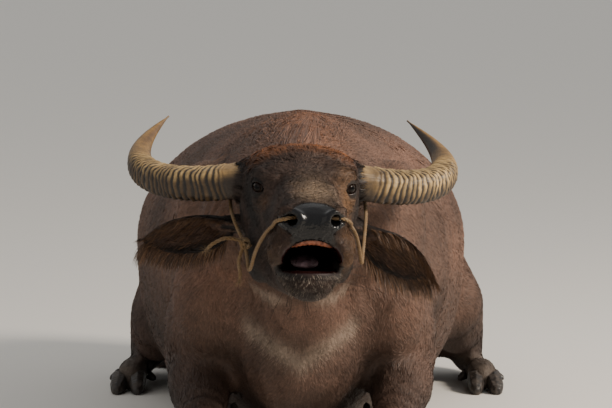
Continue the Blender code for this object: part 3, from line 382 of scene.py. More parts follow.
def padShare(q):
    """How much a point belongs to the bare, wet pad of the nose."""
    x, f, z = np.abs(q[:, 0]), q[:, 1], q[:, 2]
    top = 0.1435 - 6.0 * x * x
    reach = np.interp(z, (0.066, 0.086, 0.098, 0.125, 0.143), (0.038, 0.048, 0.066, 0.067, 0.046))
    reach = reach + 0.011 * (q[:, 0] < 0) * soft(z, 0.070, 0.090) * soft(0.128 - z, 0, 0.01)
    return soft(f, 0.436, 0.446) * soft(top - z, -0.0015, 0.0025) * soft(reach - x, -0.002, 0.003) * soft(z, 0.058, 0.064)


def mouthShare(q):
    x, f, z = np.abs(q[:, 0]), q[:, 1], q[:, 2]
    wide = np.interp(f, *zip(*mouthSizes))
    return soft(wide + 0.004 - x, 0, 0.004) * soft(z, -0.010, -0.003) * soft(0.072 - z, 0, 0.004) * soft(0.466 - f, 0, 0.006)


def lipShare(q):
    """The hairless edges of both lips."""
    x, f, z = np.abs(q[:, 0]), q[:, 1], q[:, 2]
    wide = np.interp(f, (0.32, 0.38, 0.43, 0.46), (0.060, 0.064, 0.060, 0.040))
    upper = soft(f, 0.33, 0.36) * soft(0.030 - np.abs(z - np.interp(f, (0.33, 0.39, 0.43, 0.467), (0.004, 0.008, 0.026, 0.066))), 0.016, 0.024)
    lower = soft(f, 0.34, 0.37) * soft(z, -0.026, -0.014) * (z < 0.004)
    return np.clip(upper + lower, 0, 1) * soft(x - wide, -0.050, -0.02) * soft(wide + 0.011 - x, 0, 0.005)


ear = dict(length=0.198, halfWidth=0.045, widest=0.42, thickness=0.0050, droop=(0.54, 0.10), back=(0.42, 0.14))


def earFrame(side):
    """Root, axis, the way the cup opens, and across, in the head's own frame with y backward."""
    k = 0 if side > 0 else 1
    root = np.array([side * 0.120, 0.028, 0.047])
    axis = unit(np.array([side, ear["back"][k], -ear["droop"][k]]))
    opens = np.array([0.15 * side, -0.90, -0.42])
    opens = unit(opens - axis * (opens @ axis))
    return root, axis, opens, np.cross(axis, opens) * side


def earHalf(along):
    widest = ear["widest"]
    rising = 0.36 + 0.64 * np.sin(np.pi / 2 * np.clip(along / widest, 0, 1))
    falling = np.maximum(0.14, 1 - (np.clip(along - widest, 0, None) / (1 - widest)) ** 2.6)
    return ear["halfWidth"] * np.where(along < widest, rising, falling)


def earPoint(side, along, over):
    """A point of the ear's mid surface, for arrays of shares along and across."""
    root, axis, opens, across = earFrame(side)
    half = earHalf(along)
    depth = 0.055 * np.clip(1 - along, 0, 1) ** 0.7 + 0.010
    sag = depth * (over * over - 0.45) * np.minimum(1.0, half / ear["halfWidth"] + 0.15)
    local = root + np.multiply.outer(0.018 + ear["length"] * along, axis)
    local = local + np.multiply.outer(over * half, across) + np.multiply.outer(sag, opens)
    local[..., 2] -= 0.022 * along * along
    return local * np.array([1, -1, 1])  # to lateral, forward, height


def earShares(q):
    """For points in the head's frame: which ear (0 for none), share along, share across, height off its mid surface."""
    which = np.zeros(len(q))
    along, over, off = np.zeros(len(q)), np.zeros(len(q)), np.zeros(len(q))
    for side in (1, -1):
        root, axis, opens, across = earFrame(side)
        local = q * np.array([1, -1, 1]) - root
        a = (local @ axis - 0.018) / ear["length"]
        local = local + np.multiply.outer(0.022 * np.clip(a, 0, 1) ** 2, np.array([0, 0, 1]))
        a = (local @ axis - 0.018) / ear["length"]
        c = (local @ across) / earHalf(np.clip(a, 0, 1))
        depth = 0.055 * np.clip(1 - a, 0, 1) ** 0.7 + 0.010
        o = local @ opens - depth * (np.clip(c, -1, 1) ** 2 - 0.45)
        inside = (q[:, 0] * side > 0.122) & (a > -0.12) & (a < 1.2) & (np.abs(c) < 1.6) & (np.abs(o) < 0.032)
        which[inside], along[inside], over[inside], off[inside] = side, a[inside], c[inside], o[inside]
    return which, along, over, off


def markingsAndPaintedLight(points):
    """Colour of hide and coat at each point."""
    q = toHead(points)
    x, f, z = np.abs(q[:, 0]), q[:, 1], q[:, 2]
    p = points - shiftBack * np.array([1, 1, 0])
    blotch = 0.6 * ripple(points, 0.40, 3, 14) + 0.5 * ripple(points, 0.16, 4, 14)
    colour = mixed(hide["body"], hide["bodyPink"], np.clip(0.42 + 0.34 * blotch, 0, 1))
    colour = mixed(colour, hide["bodyDark"], np.clip(0.20 - 0.20 * blotch + 0.42 * soft(0.42 - p[:, 2], 0, 0.30), 0, 0.8))
    top = soft(p[:, 2], 0.56, 0.74) * soft(0.16 - np.abs(p[:, 0]), 0, 0.15)
    colour = mixed(colour, hide["ridge"], 0.42 * top)
    colour = mixed(colour, hide["belly"], 0.55 * soft(0.16 - p[:, 2], 0, 0.14))
    foreShank = soft(0.105 - p[:, 2], 0, 0.04) * soft(-0.44 - p[:, 1], -0.10, 0.05)
    hindShank = soft(0.095 - p[:, 2], 0, 0.04) * soft(np.abs(p[:, 0]), 0.36, 0.42) * soft(0.56 - p[:, 1], 0, 0.08)
    colour = mixed(colour, hide["stocking"], 0.55 * np.clip(foreShank + hindShank, 0, 1))
    throat = np.exp(-((p[:, 2] - 0.405 + 0.55 * np.abs(p[:, 0]) - 0.42 * (p[:, 1] + 1.0)) / 0.020) ** 2)
    brisket = np.exp(-((p[:, 2] - 0.225 - 0.65 * np.abs(p[:, 0])) / 0.026) ** 2)
    front = soft(-0.80 - p[:, 1], -0.04, 0.02)
    colour = mixed(colour, hide["chevron"], 0.5 * throat * soft(-0.86 - p[:, 1], 0, 0.04) * soft(p[:, 1], -1.02, -0.98))
    colour = mixed(colour, hide["chevron"], 0.5 * brisket * front * soft(0.14 - np.abs(p[:, 0]), 0, 0.03))
    onHead = soft(f, -0.17, -0.06) * soft(z, -0.16, -0.12)
    face = mixed(hide["face"], hide["faceDark"], np.clip(0.25 + 0.3 * ripple(q, 0.07, 5) + 0.5 * soft(x, 0.05, 0.11) + 0.25 * soft(0.06 - z, 0, 0.10), 0, 1))
    gold = np.clip(0.60 + 0.26 * ripple(q, 0.035, 8, 12), 0.2, 1)
    # Copper is the hair's own colour on cheeks, muzzle and brows. Laying it far stronger on the +x side, where the key
    # lamp falls, than on the -x side is painted light.
    face = mixed(face, hide["copper"], 0.72 * gold * soft(q[:, 0], 0.045, 0.085) * soft(f, 0.10, 0.20))
    face = mixed(face, hide["copper"], 0.30 * gold * soft(-q[:, 0], 0.05, 0.085) * soft(f, 0.30, 0.36))
    face = mixed(face, hide["copper"], 0.50 * (hill(q, (0.085, 0.215, 0.120), (0.018, 0.030, 0.020)) + 0.5 * hill(q, (-0.085, 0.215, 0.120), (0.018, 0.030, 0.020))))
    face = mixed(face, hide["patch"], 0.95 * np.clip(1.25 * hill(q, (0.012, 0.340, 0.156), (0.036, 0.095, 0.044)), 0, 1))
    crown = soft(z + 0.16 * x, 0.186, 0.206) * soft(0.135 - f, 0, 0.060) * soft(0.112 - x, 0, 0.03)
    crown = crown * (0.40 + 0.60 * soft(f, -0.050, 0.030))
    face = mixed(face, hide["crown"], crown * np.clip(0.78 + 0.3 * ripple(q, 0.03, 9) - 0.30 * hill(q, (0, 0.08, 0.19), (0.022, 0.10, 0.03)), 0, 1))
    colour = mixed(colour, face, onHead)
    eyeAt = np.array(head["eye"])
    ring = np.linalg.norm(np.column_stack([x, f, z]) - eyeAt, axis=1)
    colour = mixed(colour, hide["rim"], 0.9 * soft(0.0300 - ring, 0, 0.0035) * onHead)
    which, along, over, off = earShares(q)
    onEar = np.abs(which)
    colour = mixed(colour, hide["earDark"], 0.75 * onEar)
    colour = mixed(colour, hide["earInside"], 0.8 * onEar * (off > 0) * soft(0.85 - np.abs(over), 0, 0.3) * soft(0.95 - along, 0, 0.3))
    colour = mixed(colour, hide["lip"], 0.8 * lipShare(q) * onHead)
    colour = mixed(colour, hide["pad"], padShare(q))
    colour = mixed(colour, hide["gum"], mouthShare(q) * onHead)
    return colour * (1 + 0.10 * ripple(points, 0.035, 6)[:, None])


# Skin: one closed surface over all the flesh, ears included
skin = dict(
    nodes=("torso", "neck", "head", "lower_jaw", "foreleg_left", "foreleg_right", "hindleg_left", "hindleg_right", "tail"),
    grow=0.0007,  # closes the gaps between the solids
    keep=0.72,  # share of the triangles left at the end
    voxel=0.0088,  # on the body; the head is finer by the zoom
    zoom=3.3, zoomFrom=-0.565, zoomFull=-0.69, zoomLevel=0.57,
    bodyRounds=26, headRounds=16, detailRounds=3,
    coatBody=0.0024, coatHead=0.0011,
)
zoomY = np.linspace(-1.6, 1.6, 4001)
zoomScale = 1 + (skin["zoom"] - 1) * soft(-zoomY, -skin["zoomFrom"], -skin["zoomFull"])
zoomedY = np.concatenate([[0], np.cumsum((zoomScale[1:] + zoomScale[:-1]) / 2 * np.diff(zoomY))])
zoomedY -= np.interp(0, zoomY, zoomedY)


def zoomed(points):
    s = np.interp(points[:, 1], zoomY, zoomScale)
    z = skin["zoomLevel"]
    return np.column_stack([points[:, 0] * s, np.interp(points[:, 1], zoomY, zoomedY), z + (points[:, 2] - z) * s])


def unzoomed(points):
    y = np.interp(points[:, 1], zoomedY, zoomY)
    s = np.interp(y, zoomY, zoomScale)
    z = skin["zoomLevel"]
    return np.column_stack([points[:, 0] / s, y, z + (points[:, 2] - z) / s])


def oneSkin(name, items, voxel):
    """Joins bodies under one surface, finer at the head."""
    item = joined(name, items)
    setPoints(item, zoomed(pointsOf(item)))
    remeshed(item, voxel)
    setPoints(item, unzoomed(pointsOf(item)))
    return item


def grownNode(name, by):
    """A copy of a solid, welded and grown."""
    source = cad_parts[name]
    shape = bmesh.new()
    shape.from_mesh(source.data)
    bmesh.ops.remove_doubles(shape, verts=shape.verts, dist=1e-5)
    bmesh.ops.recalc_face_normals(shape, faces=shape.faces)
    shape.normal_update()
    for vert in shape.verts:
        vert.co += vert.normal * by
    for _ in range(5):  # short edges where the zoom begins, so that flat faces stay flat
        crossing = [e for e in shape.edges if e.calc_length() > 0.014 and -0.76 < (e.verts[0].co.y + e.verts[1].co.y) / 2 < -0.50]
        if crossing:
            bmesh.ops.subdivide_edges(shape, edges=crossing, cuts=1)
            bmesh.ops.triangulate(shape, faces=shape.faces)
    mesh = bpy.data.meshes.new(name)
    shape.to_mesh(mesh)
    shape.free()
    return linked("grown", mesh)


def eyeTurn(side):
    """Places a form made round the origin, looking along +Y, in the eye's socket of the head's own frame."""
    x, f, z = head["eye"]
    gaze = Vector((0.64 * side, -0.77, 0.05))
    turn = gaze.to_track_quat("Y", "Z").to_matrix().to_4x4()
    return Matrix.Translation(inHead(x * side, f, z)) @ turn @ Matrix.Rotation(math.radians(13) * side, 4, "Y")


eyeOpening = dict(half=0.0245, tall=0.0205, deep=0.0200, drop=0.0090)


def lidLine(side, radius, steps=28, inset=0.0, share=1.0):
    """The almond between the lids, as points on a round about the eye, in lateral, forward, height. Upper half first."""
    corner = eyeOpening["half"] * math.sqrt(1 - (eyeOpening["drop"] / eyeOpening["tall"]) ** 2) - inset
    rows = []
    for half in (1, -1):
        for k in range(steps):
            a = math.pi * k / steps
            across = corner * math.cos(a) * half
            rise = (eyeOpening["tall"] * math.sqrt(max(0, 1 - (across / eyeOpening["half"]) ** 2)) - eyeOpening["drop"] - inset) * half * share
            out = math.sqrt(max(1e-9, radius ** 2 - across ** 2 - rise ** 2))
            point = eyeTurn(side) @ Vector((across, out, rise))
            rows.append((point.x, -point.y, point.z))
    return np.array(rows)


def mirrorKeys(keys, side):
    return [(x * side, f, z) for x, f, z in keys]


def archKeys(keys):
    return list(keys) + [(-x, f, z) for x, f, z in reversed(keys[:-1])]


upperLip = ((-0.064, 0.330, 0.009), (-0.0735, 0.390, 0.015), (-0.069, 0.430, 0.035), (-0.046, 0.458, 0.066), (0, 0.4685, 0.080))
lowerLip = ((-0.058, 0.330, -0.012), (-0.0545, 0.395, -0.012), (-0.037, 0.431, -0.012), (0, 0.4465, -0.011))
nostrilRim = (
    (0.069, 0.444, 0.120), (0.0635, 0.458, 0.129), (0.050, 0.474, 0.130), (0.034, 0.484, 0.122),
    (0.029, 0.487, 0.108), (0.034, 0.485, 0.095), (0.048, 0.478, 0.091), (0.062, 0.464, 0.096),
)
lidFolds = (  # lateral, forward, height; then how thick
    (((0.0760, 0.199, 0.160), (0.0870, 0.186, 0.1735), (0.0980, 0.160, 0.1770), (0.1045, 0.130, 0.166)), 0.0058),
    (((0.0820, 0.203, 0.130), (0.0925, 0.188, 0.1185), (0.1030, 0.162, 0.1145), (0.1070, 0.132, 0.124)), 0.0046),
    (((0.0740, 0.222, 0.126), (0.0900, 0.198, 0.1040), (0.1030, 0.164, 0.0990), (0.1100, 0.124, 0.108)), 0.0042),
)
cheekFolds = (
    (((0.0700, 0.360, 0.040), (0.0760, 0.372, 0.066), (0.0720, 0.392, 0.094)), 0.0045),
    (((0.0700, 0.340, 0.030), (0.0745, 0.344, 0.060), (0.0700, 0.360, 0.092)), 0.0040),
    (((0.0690, 0.318, 0.020), (0.0720, 0.316, 0.050), (0.0680, 0.326, 0.084)), 0.0035),
)


def headBeads():
    items = [bead(archKeys(upperLip), 0.0135), bead(archKeys(lowerLip), 0.0120)]
    for side in (1, -1):
        items.append(bead(mirrorKeys(nostrilRim, side), 0.0068))
        items += [bead(mirrorKeys(keys, side), size) for keys, size in lidFolds + cheekFolds]
        x, f, z = head["eye"]
        items.append(ball(fromHead([(x * side, f, z)])[0], [head["eyeRadius"] + 0.0034] * 3))
        rim = lidLine(side, head["eyeRadius"] + 0.0032, inset=-0.0022)
        count = len(rim) // 2
        items.append(lofted("lid", tubeRings(fromHead(rim[:count + 1]), 0.0030)))
        items.append(lofted("lid", tubeRings(fromHead(np.vstack([rim[count:], rim[:1]])), 0.0026)))
    return items


def capsule(start, end, wide, narrow, around=20, steps=6):
    """A tapered body between two points of the head's own frame."""
    start, end = fromHead([start, end])
    way = unit(end - start)
    right = np.array(Vector(way).orthogonal().normalized())
    up = np.cross(way, right)
    rings = []
    for at, radius, low, high in ((start, wide, -85, 0), (end, narrow, 0, 85)):
        for a in np.radians(np.linspace(low, high, steps)):
            rings.append(ovalRing(at + way * radius * math.sin(a), right, up, radius * math.cos(a), radius * math.cos(a), around))
    return lofted("capsule", rings)


def nostrilWells(side):
    return [
        capsule((0.0495 * side, 0.500, 0.1085), (0.027 * side, 0.420, 0.112), 0.0125, 0.009),
        capsule((0.053 * side, 0.487, 0.1105), (0.0735 * side, 0.450, 0.1085), 0.0060, 0.0036),
    ]


def sockets(points):
    """Draws the flesh in round each eye, so that the ball stands out of it and is seen from in front."""
    q = toHead(points) * np.array([1, -1, 1])
    for side in (1, -1):
        at = np.array(eyeTurn(side))
        local = (q - at[:3, 3]) @ at[:3, :3]
        far = np.linalg.norm(local, axis=1)
        off = np.degrees(np.arccos(np.clip(local[:, 1] / far, -1, 1)))
        most = head["eyeRadius"] + 0.0048 + 0.030 * soft(off, 38, 82)
        near = soft(0.085 - far, 0, 0.03) * (off < 84)
        q = at[:3, 3] + (q - at[:3, 3]) * (1 - near * np.clip(1 - (most + 0.18 * (far - most)) / far, 0, 1))[:, None]
    return fromHead(q * np.array([1, -1, 1]))


def eyeCutter(side):
    """The almond, cut straight in to the eyeball."""
    rows = lidLine(side, 1.0, steps=28)
    at = np.array(eyeTurn(side))
    back = np.linalg.inv(at)
    local = (rows * np.array([1, -1, 1])) @ back[:3, :3].T + back[:3, 3]
    rings = []
    for depth, size in ((0.002, 0.75), (0.010, 0.92), (0.0185, 0.99), (0.0225, 1.02), (0.030, 1.12), (0.048, 1.35)):
        ring = np.column_stack([local[:, 0] * size, np.full(len(local), depth), local[:, 2] * size])
        ring = ring @ at[:3, :3].T + at[:3, 3]
        rings.append(fromHead(ring * np.array([1, -1, 1])))
    return lofted("almond", rings)


def earBlade(side):
    rows, columns = 40, 26
    along, over = np.meshgrid(np.arange(rows + 1) / rows, np.linspace(-1, 1, columns + 1), indexing="ij")
    grid = fromHead(earPoint(side, along, over).reshape(-1, 3))
    index = np.arange(len(grid)).reshape(rows + 1, columns + 1)
    quads = np.stack([index[:-1, :-1], index[:-1, 1:], index[1:, 1:], index[1:, :-1]], axis=-1).reshape(-1, 4)
    blade = meshFrom("blade", grid, None, quads)
    solid = blade.modifiers.new("thickness", "SOLIDIFY")
    solid.thickness = ear["thickness"]
    solid.offset = 0
    return settled(blade)


def makeEar(side):
    root, axis, opens, across = earFrame(side)
    flip = np.array([1, -1, 1])
    stem = capsule((root - axis * 0.030) * flip, (root + axis * 0.060 - opens * 0.012) * flip, 0.0275, 0.013)
    item = joined("ear", [earBlade(side), stem])
    return smoothed(remeshed(item, 0.0026), 5, 1.0, back=None)


def headWeight(points):
    return soft(-points[:, 1], 0.60, 0.70)


def detailWeight(points):
    """Where the first softening holds back, so that lips, nostrils and mouth stay."""
    q = toHead(points)
    keep = soft(q[:, 1], 0.36, 0.42) * soft(q[:, 2], -0.05, -0.02)
    return 1 - 0.75 * keep


def foldDepths(points, normals):
    """Small folds of the hide, outward in metres: on the neck, at the elbows and flanks, and the ribs under it."""
    p = points - shiftBack * np.array([1, 1, 0])
    warp = 0.035 * ripple(points, 0.30, 11)
    neckMask = soft(-p[:, 1], 0.76, 0.84) * soft(p[:, 1], -1.10, -1.02) * soft(0.66 - p[:, 2], 0, 0.08)
    neck = np.sin(2 * math.pi * (p[:, 1] + 0.35 * p[:, 2] + warp) / 0.042)
    chestMask = hill(p, (0, -0.74, 0.38), (0.26, 0.10, 0.16))
    chest = np.sin(2 * math.pi * (p[:, 1] + 0.6 * p[:, 2] + warp) / 0.060)
    side = np.abs(p[:, 0])
    flankMask = hill(np.column_stack([side, p[:, 1], p[:, 2]]), (0.33, 0.20, 0.42), (0.12, 0.10, 0.12))
    flank = np.sin(2 * math.pi * (p[:, 1] * 0.8 - p[:, 2] * 0.6 + warp) / 0.050)
    elbowMask = hill(np.column_stack([side, p[:, 1], p[:, 2]]), (0.30, -0.44, 0.24), (0.09, 0.08, 0.10))
    elbow = np.sin(2 * math.pi * (p[:, 1] + p[:, 2] * 0.5 + warp) / 0.036)
    ribMask = soft(side, 0.24, 0.33) * hill(p * [0, 1, 1], (0, -0.02, 0.42), (1, 0.26, 0.17))
    ribs = np.sin(2 * math.pi * (p[:, 1] + 0.25 * (0.6 - p[:, 2]) + 0.3 * warp) / 0.062)
    depth = 0.0026 * neck * neckMask + 0.0032 * chest * chestMask + 0.0024 * flank * flankMask
    depth += 0.0024 * elbow * elbowMask + 0.0022 * ribs * ribMask
    q = toHead(points)
    x = np.abs(q[:, 0])
    ring = np.linalg.norm(np.column_stack([x, q[:, 1], q[:, 2]]) - np.array(head["eye"]), axis=1)
    lidMask = soft(ring, 0.026, 0.030) * soft(0.048 - ring, 0, 0.012)
    depth += 0.0007 * np.sin(2 * math.pi * ring / 0.0062) * lidMask
    return depth


def makeSkin():
    items = [grownNode(name, skin["grow"]) for name in skin["nodes"]]
    x, f, z = head["eye"]
    items += [ball(fromHead([(x * side, f, z)])[0], [head["eyeRadius"] + 0.0030] * 3) for side in (1, -1)]
    item = oneSkin("hide", items, skin["voxel"])
    points = pointsOf(item)
    smoothed(item, skin["headRounds"], detailWeight(points))
    smoothed(item, skin["bodyRounds"] - skin["headRounds"], 1 - headWeight(points))
    setPoints(item, sockets(pointsOf(item)))
    item = oneSkin("hide", [item] + headBeads(), skin["voxel"])
    smoothed(item, skin["detailRounds"], 0.9, back=None)
    for side in (1, -1):
        boolean(item, makeEar(side), "UNION")
        for well in nostrilWells(side):
            boolean(item, well, "DIFFERENCE")
    points, normals = pointsOf(item), normalsOf(item)
    q = toHead(points)
    onHead = headWeight(points)
    bare = np.clip(padShare(q) + mouthShare(q) * onHead + lipShare(q) * onHead, 0, 1)
    inset = (skin["coatBody"] + (skin["coatHead"] - skin["coatBody"]) * onHead) * (1 - bare)
    points += normals * (foldDepths(points, normals) - inset)[:, None]
    points[:, 2] = np.maximum(points[:, 2], 0.0006)
    setPoints(item, points)
    smoothed(item, 1, 0.5, back=None)
    for side in (1, -1):
        boolean(item, eyeCutter(side), "DIFFERENCE")
    keepLargest(item)
    fewer = item.modifiers.new("fewer", "DECIMATE")  # flat places first, so the head keeps its detail
    fewer.ratio = skin["keep"]
    settled(item)
    item.data.shade_smooth()
    return item


def keepLargest(item):
    """Drops loose scraps."""
    shape = bmesh.new()
    shape.from_mesh(item.data)
    shape.verts.ensure_lookup_table()
    group = np.full(len(shape.verts), -1)
    count = 0
    for seed in shape.verts:
        if group[seed.index] >= 0:
            continue
        stack = [seed]
        group[seed.index] = count
        while stack:
            vert = stack.pop()
            for edge in vert.link_edges:
                other = edge.other_vert(vert)
                if group[other.index] < 0:
                    group[other.index] = count
                    stack.append(other)
        count += 1
    best = np.bincount(group).argmax()
    bmesh.ops.delete(shape, geom=[vert for vert in shape.verts if group[vert.index] != best], context="VERTS")
    shape.to_mesh(item.data)
    shape.free()


def hideMaterial():
    """Buffalo hide: thick, fine grained skin, dull where hair covers it, wet and pebbled on the nose."""
    made, tree, shader = newMaterial("buffalo hide", IOR=1.38)
    place = add(tree, "TexCoord").outputs["Object"]
    tint = attribute(tree, "tint").outputs["Color"]
    wet = attribute(tree, "wet").outputs["Fac"]
    grain = add(tree, "TexNoise", {"Vector": place, "Scale": 260.0, "Detail": 4.0, "Roughness": 0.6})  # 4 mm grain
    cracks = add(tree, "TexVoronoi", {"Vector": place, "Scale": 190.0}, feature="DISTANCE_TO_EDGE")  # 5 mm plates of dry hide
    pebbles = add(tree, "TexVoronoi", {"Vector": place, "Scale": 185.0}, feature="SMOOTH_F1")  # 5 mm beads on the nose pad
    streaks = add(tree, "TexNoise", {"Vector": place, "Scale": 38.0, "Detail": 5.0})  # 26 mm stains and dust
    shade = add(tree, "MapRange", {"Value": streaks.outputs["Fac"], 1: 0.3, 2: 0.75, 3: 0.80, 4: 1.18}).outputs[0]
    colour = add(tree, "VectorMath", {0: tint, 1: shade}, operation="MULTIPLY").outputs[0]
    tree.links.new(colour, shader.inputs["Base Color"])
    dry = add(tree, "MapRange", {"Value": grain.outputs["Fac"], 1: 0.3, 2: 0.7, 3: 0.62, 4: 0.80}).outputs[0]
    damp = add(tree, "MapRange", {"Value": grain.outputs["Fac"], 1: 0.3, 2: 0.7, 3: 0.15, 4: 0.30}).outputs[0]
    rough = add(tree, "Mix", {0: wet, 2: dry, 3: damp}, data_type="FLOAT").outputs[0]
    tree.links.new(rough, shader.inputs["Roughness"])
    creased = add(tree, "MapRange", {"Value": cracks.outputs["Distance"], 1: 0.0, 2: 0.12, 3: 0.0, 4: 1.0}).outputs[0]
    dryRelief = add(tree, "Math", {0: creased, 1: grain.outputs["Fac"]}, operation="MULTIPLY_ADD")
    dryRelief.inputs[2].default_value = 0.0
    beads = add(tree, "MapRange", {"Value": pebbles.outputs["Distance"], 1: 0.0, 2: 0.7, 3: 2.6, 4: 0.0}).outputs[0]
    wetRelief = add(tree, "Math", {0: beads, 1: attribute(tree, "pebble").outputs["Fac"]}, operation="MULTIPLY").outputs[0]
    relief = add(tree, "Mix", {0: wet, 2: dryRelief.outputs[0], 3: wetRelief}, data_type="FLOAT").outputs[0]
    bump = add(tree, "Bump", {"Height": relief, "Strength": 0.6, "Distance": 0.0013})
    tree.links.new(bump.outputs[0], shader.inputs["Normal"])
    return made


hideMatter = hideMaterial()
body = makeSkin()
bodyPoints = pointsOf(body)
headSide = toHead(bodyPoints)
bodyMarksAndPaintedLight = markingsAndPaintedLight(bodyPoints)
colourAttribute(body, "tint", bodyMarksAndPaintedLight)
onHeadNow = headWeight(bodyPoints)
mouthNow = mouthShare(headSide) * onHeadNow
padNow = padShare(headSide)
lipNow = lipShare(headSide) * onHeadNow
floatAttribute(body, "pebble", np.clip(padNow * soft(0.106 - headSide[:, 2], -0.006, 0.010) + 0.12, 0, 1))
floatAttribute(body, "wet", np.clip(padNow + mouthNow + 0.8 * lipNow * (headSide[:, 2] > 0.02), 0, 1))
dress(body, hideMatter, "hide", *skin["nodes"], "ear_left", "ear_right")
print("skin:", len(trianglesOf(body)), "triangles")


# Horns
horn = dict(
    base=(0.089, 0.000, 0.156), root=0.040, length=0.565, halfThickness=0.0345, flatness=1.28,
    heading=(7.8, 73.8, 134.0), climb=(-11.9, 11.5, 30.5), plane=17, ridgeStart=0.010, ridgePitch=0.0118,
    ridgeEnd=0.365, ridgeDepth=0.0030, step=0.0013, around=72,
    cream="#bfa06a", tan="#94723f", brown="#271a0f", black="#0b0806", tip="#5d4428", sheath="#9c8055",
)


def bent(values, share):
    low, middle, high = values
    return low * (1 - share) * (1 - 2 * share) + 4 * middle * share * (1 - share) + high * share * (2 * share - 1)


def makeHorn(side, material):
    own = np.random.default_rng(40 + side)
    total = horn["length"] + horn["root"]
    count = int(total / horn["step"])
    distance = np.linspace(-horn["root"], horn["length"] - 0.0015, count)
    share = np.clip(distance / horn["length"], 0, 1)
    heading, climb = np.radians(bent(horn["heading"], share)), np.radians(bent(horn["climb"], share))
    way = np.column_stack([np.cos(heading) * np.cos(climb), np.sin(heading) * np.cos(climb), np.sin(climb)])
    line = np.array(horn["base"]) + np.vstack([[0, 0, 0], np.cumsum(way[:-1] * np.diff(distance)[:, None], axis=0)])
    plane = math.radians(horn["plane"])
    normal = np.array([0, -math.sin(plane), math.cos(plane)])
    up = unit(normal - way * (way @ normal)[:, None])
    outward = np.cross(up, way)
    around = horn["around"]
    angle = 2 * math.pi * np.arange(around) / around
    c, s = np.cos(angle), np.sin(angle)
    # Ridges lean over the horn, and no two are the same height or width.
    starts = horn["ridgeStart"] + horn["ridgePitch"] * np.cumsum(own.uniform(0.60, 1.40, 46)) - horn["ridgePitch"]
    heights = own.uniform(0.55, 1.15, 47)
    lean = 0.0062 * c[None, :] + 0.0035 * np.sin(2 * angle + 1.3)[None, :]
    at = distance[:, None] + lean + 0.0012 * np.sin(5 * angle + distance[:, None] * 60)
    which = np.clip(np.searchsorted(starts, at.ravel()).reshape(at.shape) - 1, 0, 44)
    phase = np.clip((at - starts[which]) / (starts[which + 1] - starts[which]), 0, 1)
    fade = soft(at, horn["ridgeStart"], horn["ridgeStart"] + 0.036) * soft(horn["ridgeEnd"] - at, 0, 0.09)
    crest = np.where(phase < 0.62, np.sin(phase / 0.62 * math.pi / 2) ** 1.6, np.cos((phase - 0.62) / 0.38 * math.pi / 2))
    relief = horn["ridgeDepth"] * fade * (crest - 0.45) * heights[which] * (1 + 0.30 * c[None, :])
    relief += 0.0004 * np.sin(angle * 23 + 4 * np.sin(distance[:, None] * 25)) * (1 - share[:, None])
    relief += 0.0007 * fade * np.sin(angle * 9 + which * 2.1)  # each ridge is broken up along its crest
    size = horn["halfThickness"] * np.maximum(0, 1 - share ** 2.5) ** 0.95
    size = np.maximum(size, 0.0019)[:, None] + relief * np.minimum(1, size / 0.02)[:, None]
    flat = (1 + (horn["flatness"] - 1) * (1 - share))[:, None]
    power = (2.7 - 0.7 * share)[:, None]
    wide = size * flat * np.sign(c) * np.abs(c) ** (2 / power)
    tall = size * np.sign(s) * np.abs(s) ** (2 / power) * (1 - 0.14 * c)
    rings = line[:, None, :] + outward[:, None, :] * wide[..., None] + up[:, None, :] * tall[..., None]
    rings[..., 0] *= side
    world = fromHead((rings * np.array([1, -1, 1])).reshape(-1, 3)).reshape(rings.shape)
    item = lofted("horn", world)
    # Painted light and shade: each horn is laid pale on its upper side as painted light and dark on its underside as
    # painted shade. hornRight (side -1) is laid darker than hornLeft.
    high = np.sign(s) * np.abs(s) ** 0.74 + 0.10 * np.sin(angle * 4 + which * 1.7)
    top = soft(high, -0.50, 0.62) if side > 0 else soft(high, 0.30, 0.85)  # pale above, dark beneath
    colour = mixed(tone(horn["tan"]), tone(horn["cream"]), (fade * crest))
    # The grooves between the ridges are laid black: painted shade.
    paintedGrooveShade = soft(crest, 0.80, 0.26) * fade
    colour = mixed(colour, tone(horn["black"]), np.clip(0.92 * paintedGrooveShade, 0, 1))
    colour = mixed(colour, tone(horn["sheath"]), 0.75 * soft(0.030 - at, 0, 0.025))
    grain = 0.5 + 0.5 * np.sin(angle * 31 + 5 * np.sin(angle * 7) + distance[:, None] * 40)
    # Brown fibre streaks at the root are the horn's own grain, but laying them mostly on the underside is painted
    # shade.
    colour = mixed(colour, tone(horn["brown"]), 0.6 * grain * soft(0.050 - at, 0, 0.03) * soft(-s[None, :], -0.7, 0.3))
    # The underside's colour, painted shade: brown, faint ridges and black grooves.
    dark = mixed(mixed(tone(horn["brown"]), tone(horn["tan"]), 0.30 * crest * fade), tone(horn["black"]), np.clip(1.1 * paintedGrooveShade, 0, 1))
    colour = mixed(dark, colour, np.clip(top, 0, 1))
    stain = ripple(rings.reshape(-1, 3), 0.06, 50 + side).reshape(at.shape)
    colour = mixed(colour, tone(horn["brown"]), np.clip(0.24 + 0.34 * stain, 0, 0.62))
    smoothTip = soft(share[:, None] * np.ones_like(at), 0.62, 0.80)
    streak = 0.5 + 0.5 * np.sin(angle * 3 + distance[:, None] * 18)
    # At the tip the tan streaks are weaker beneath: painted shade on the tip's underside.
    tipColour = mixed(tone(horn["tip"]), tone(horn["tan"]), np.clip(streak * 0.7 * (0.4 + 0.6 * (s[None, :] > -0.2)), 0, 1))
    colour = mixed(colour, tipColour, smoothTip)
    # Painted shade: on hornLeft alone, the face where c > 0 is laid black from about six tenths of its length on.
    colour = mixed(colour, tone(horn["black"]), 0.85 * soft(share[:, None] * np.ones_like(at), 0.60, 0.74) * soft(c[None, :], -0.25, 0.45) * (side > 0))
    flatColour = np.vstack([colour.reshape(-1, 3), colour[0].mean(axis=0)[None], colour[-1].mean(axis=0)[None]])
    colourAttribute(item, "tint", flatColour)
    item.name = "hornLeft" if side > 0 else "hornRight"
    return dress(item, material, "horn", "horn_left" if side > 0 else "horn_right")


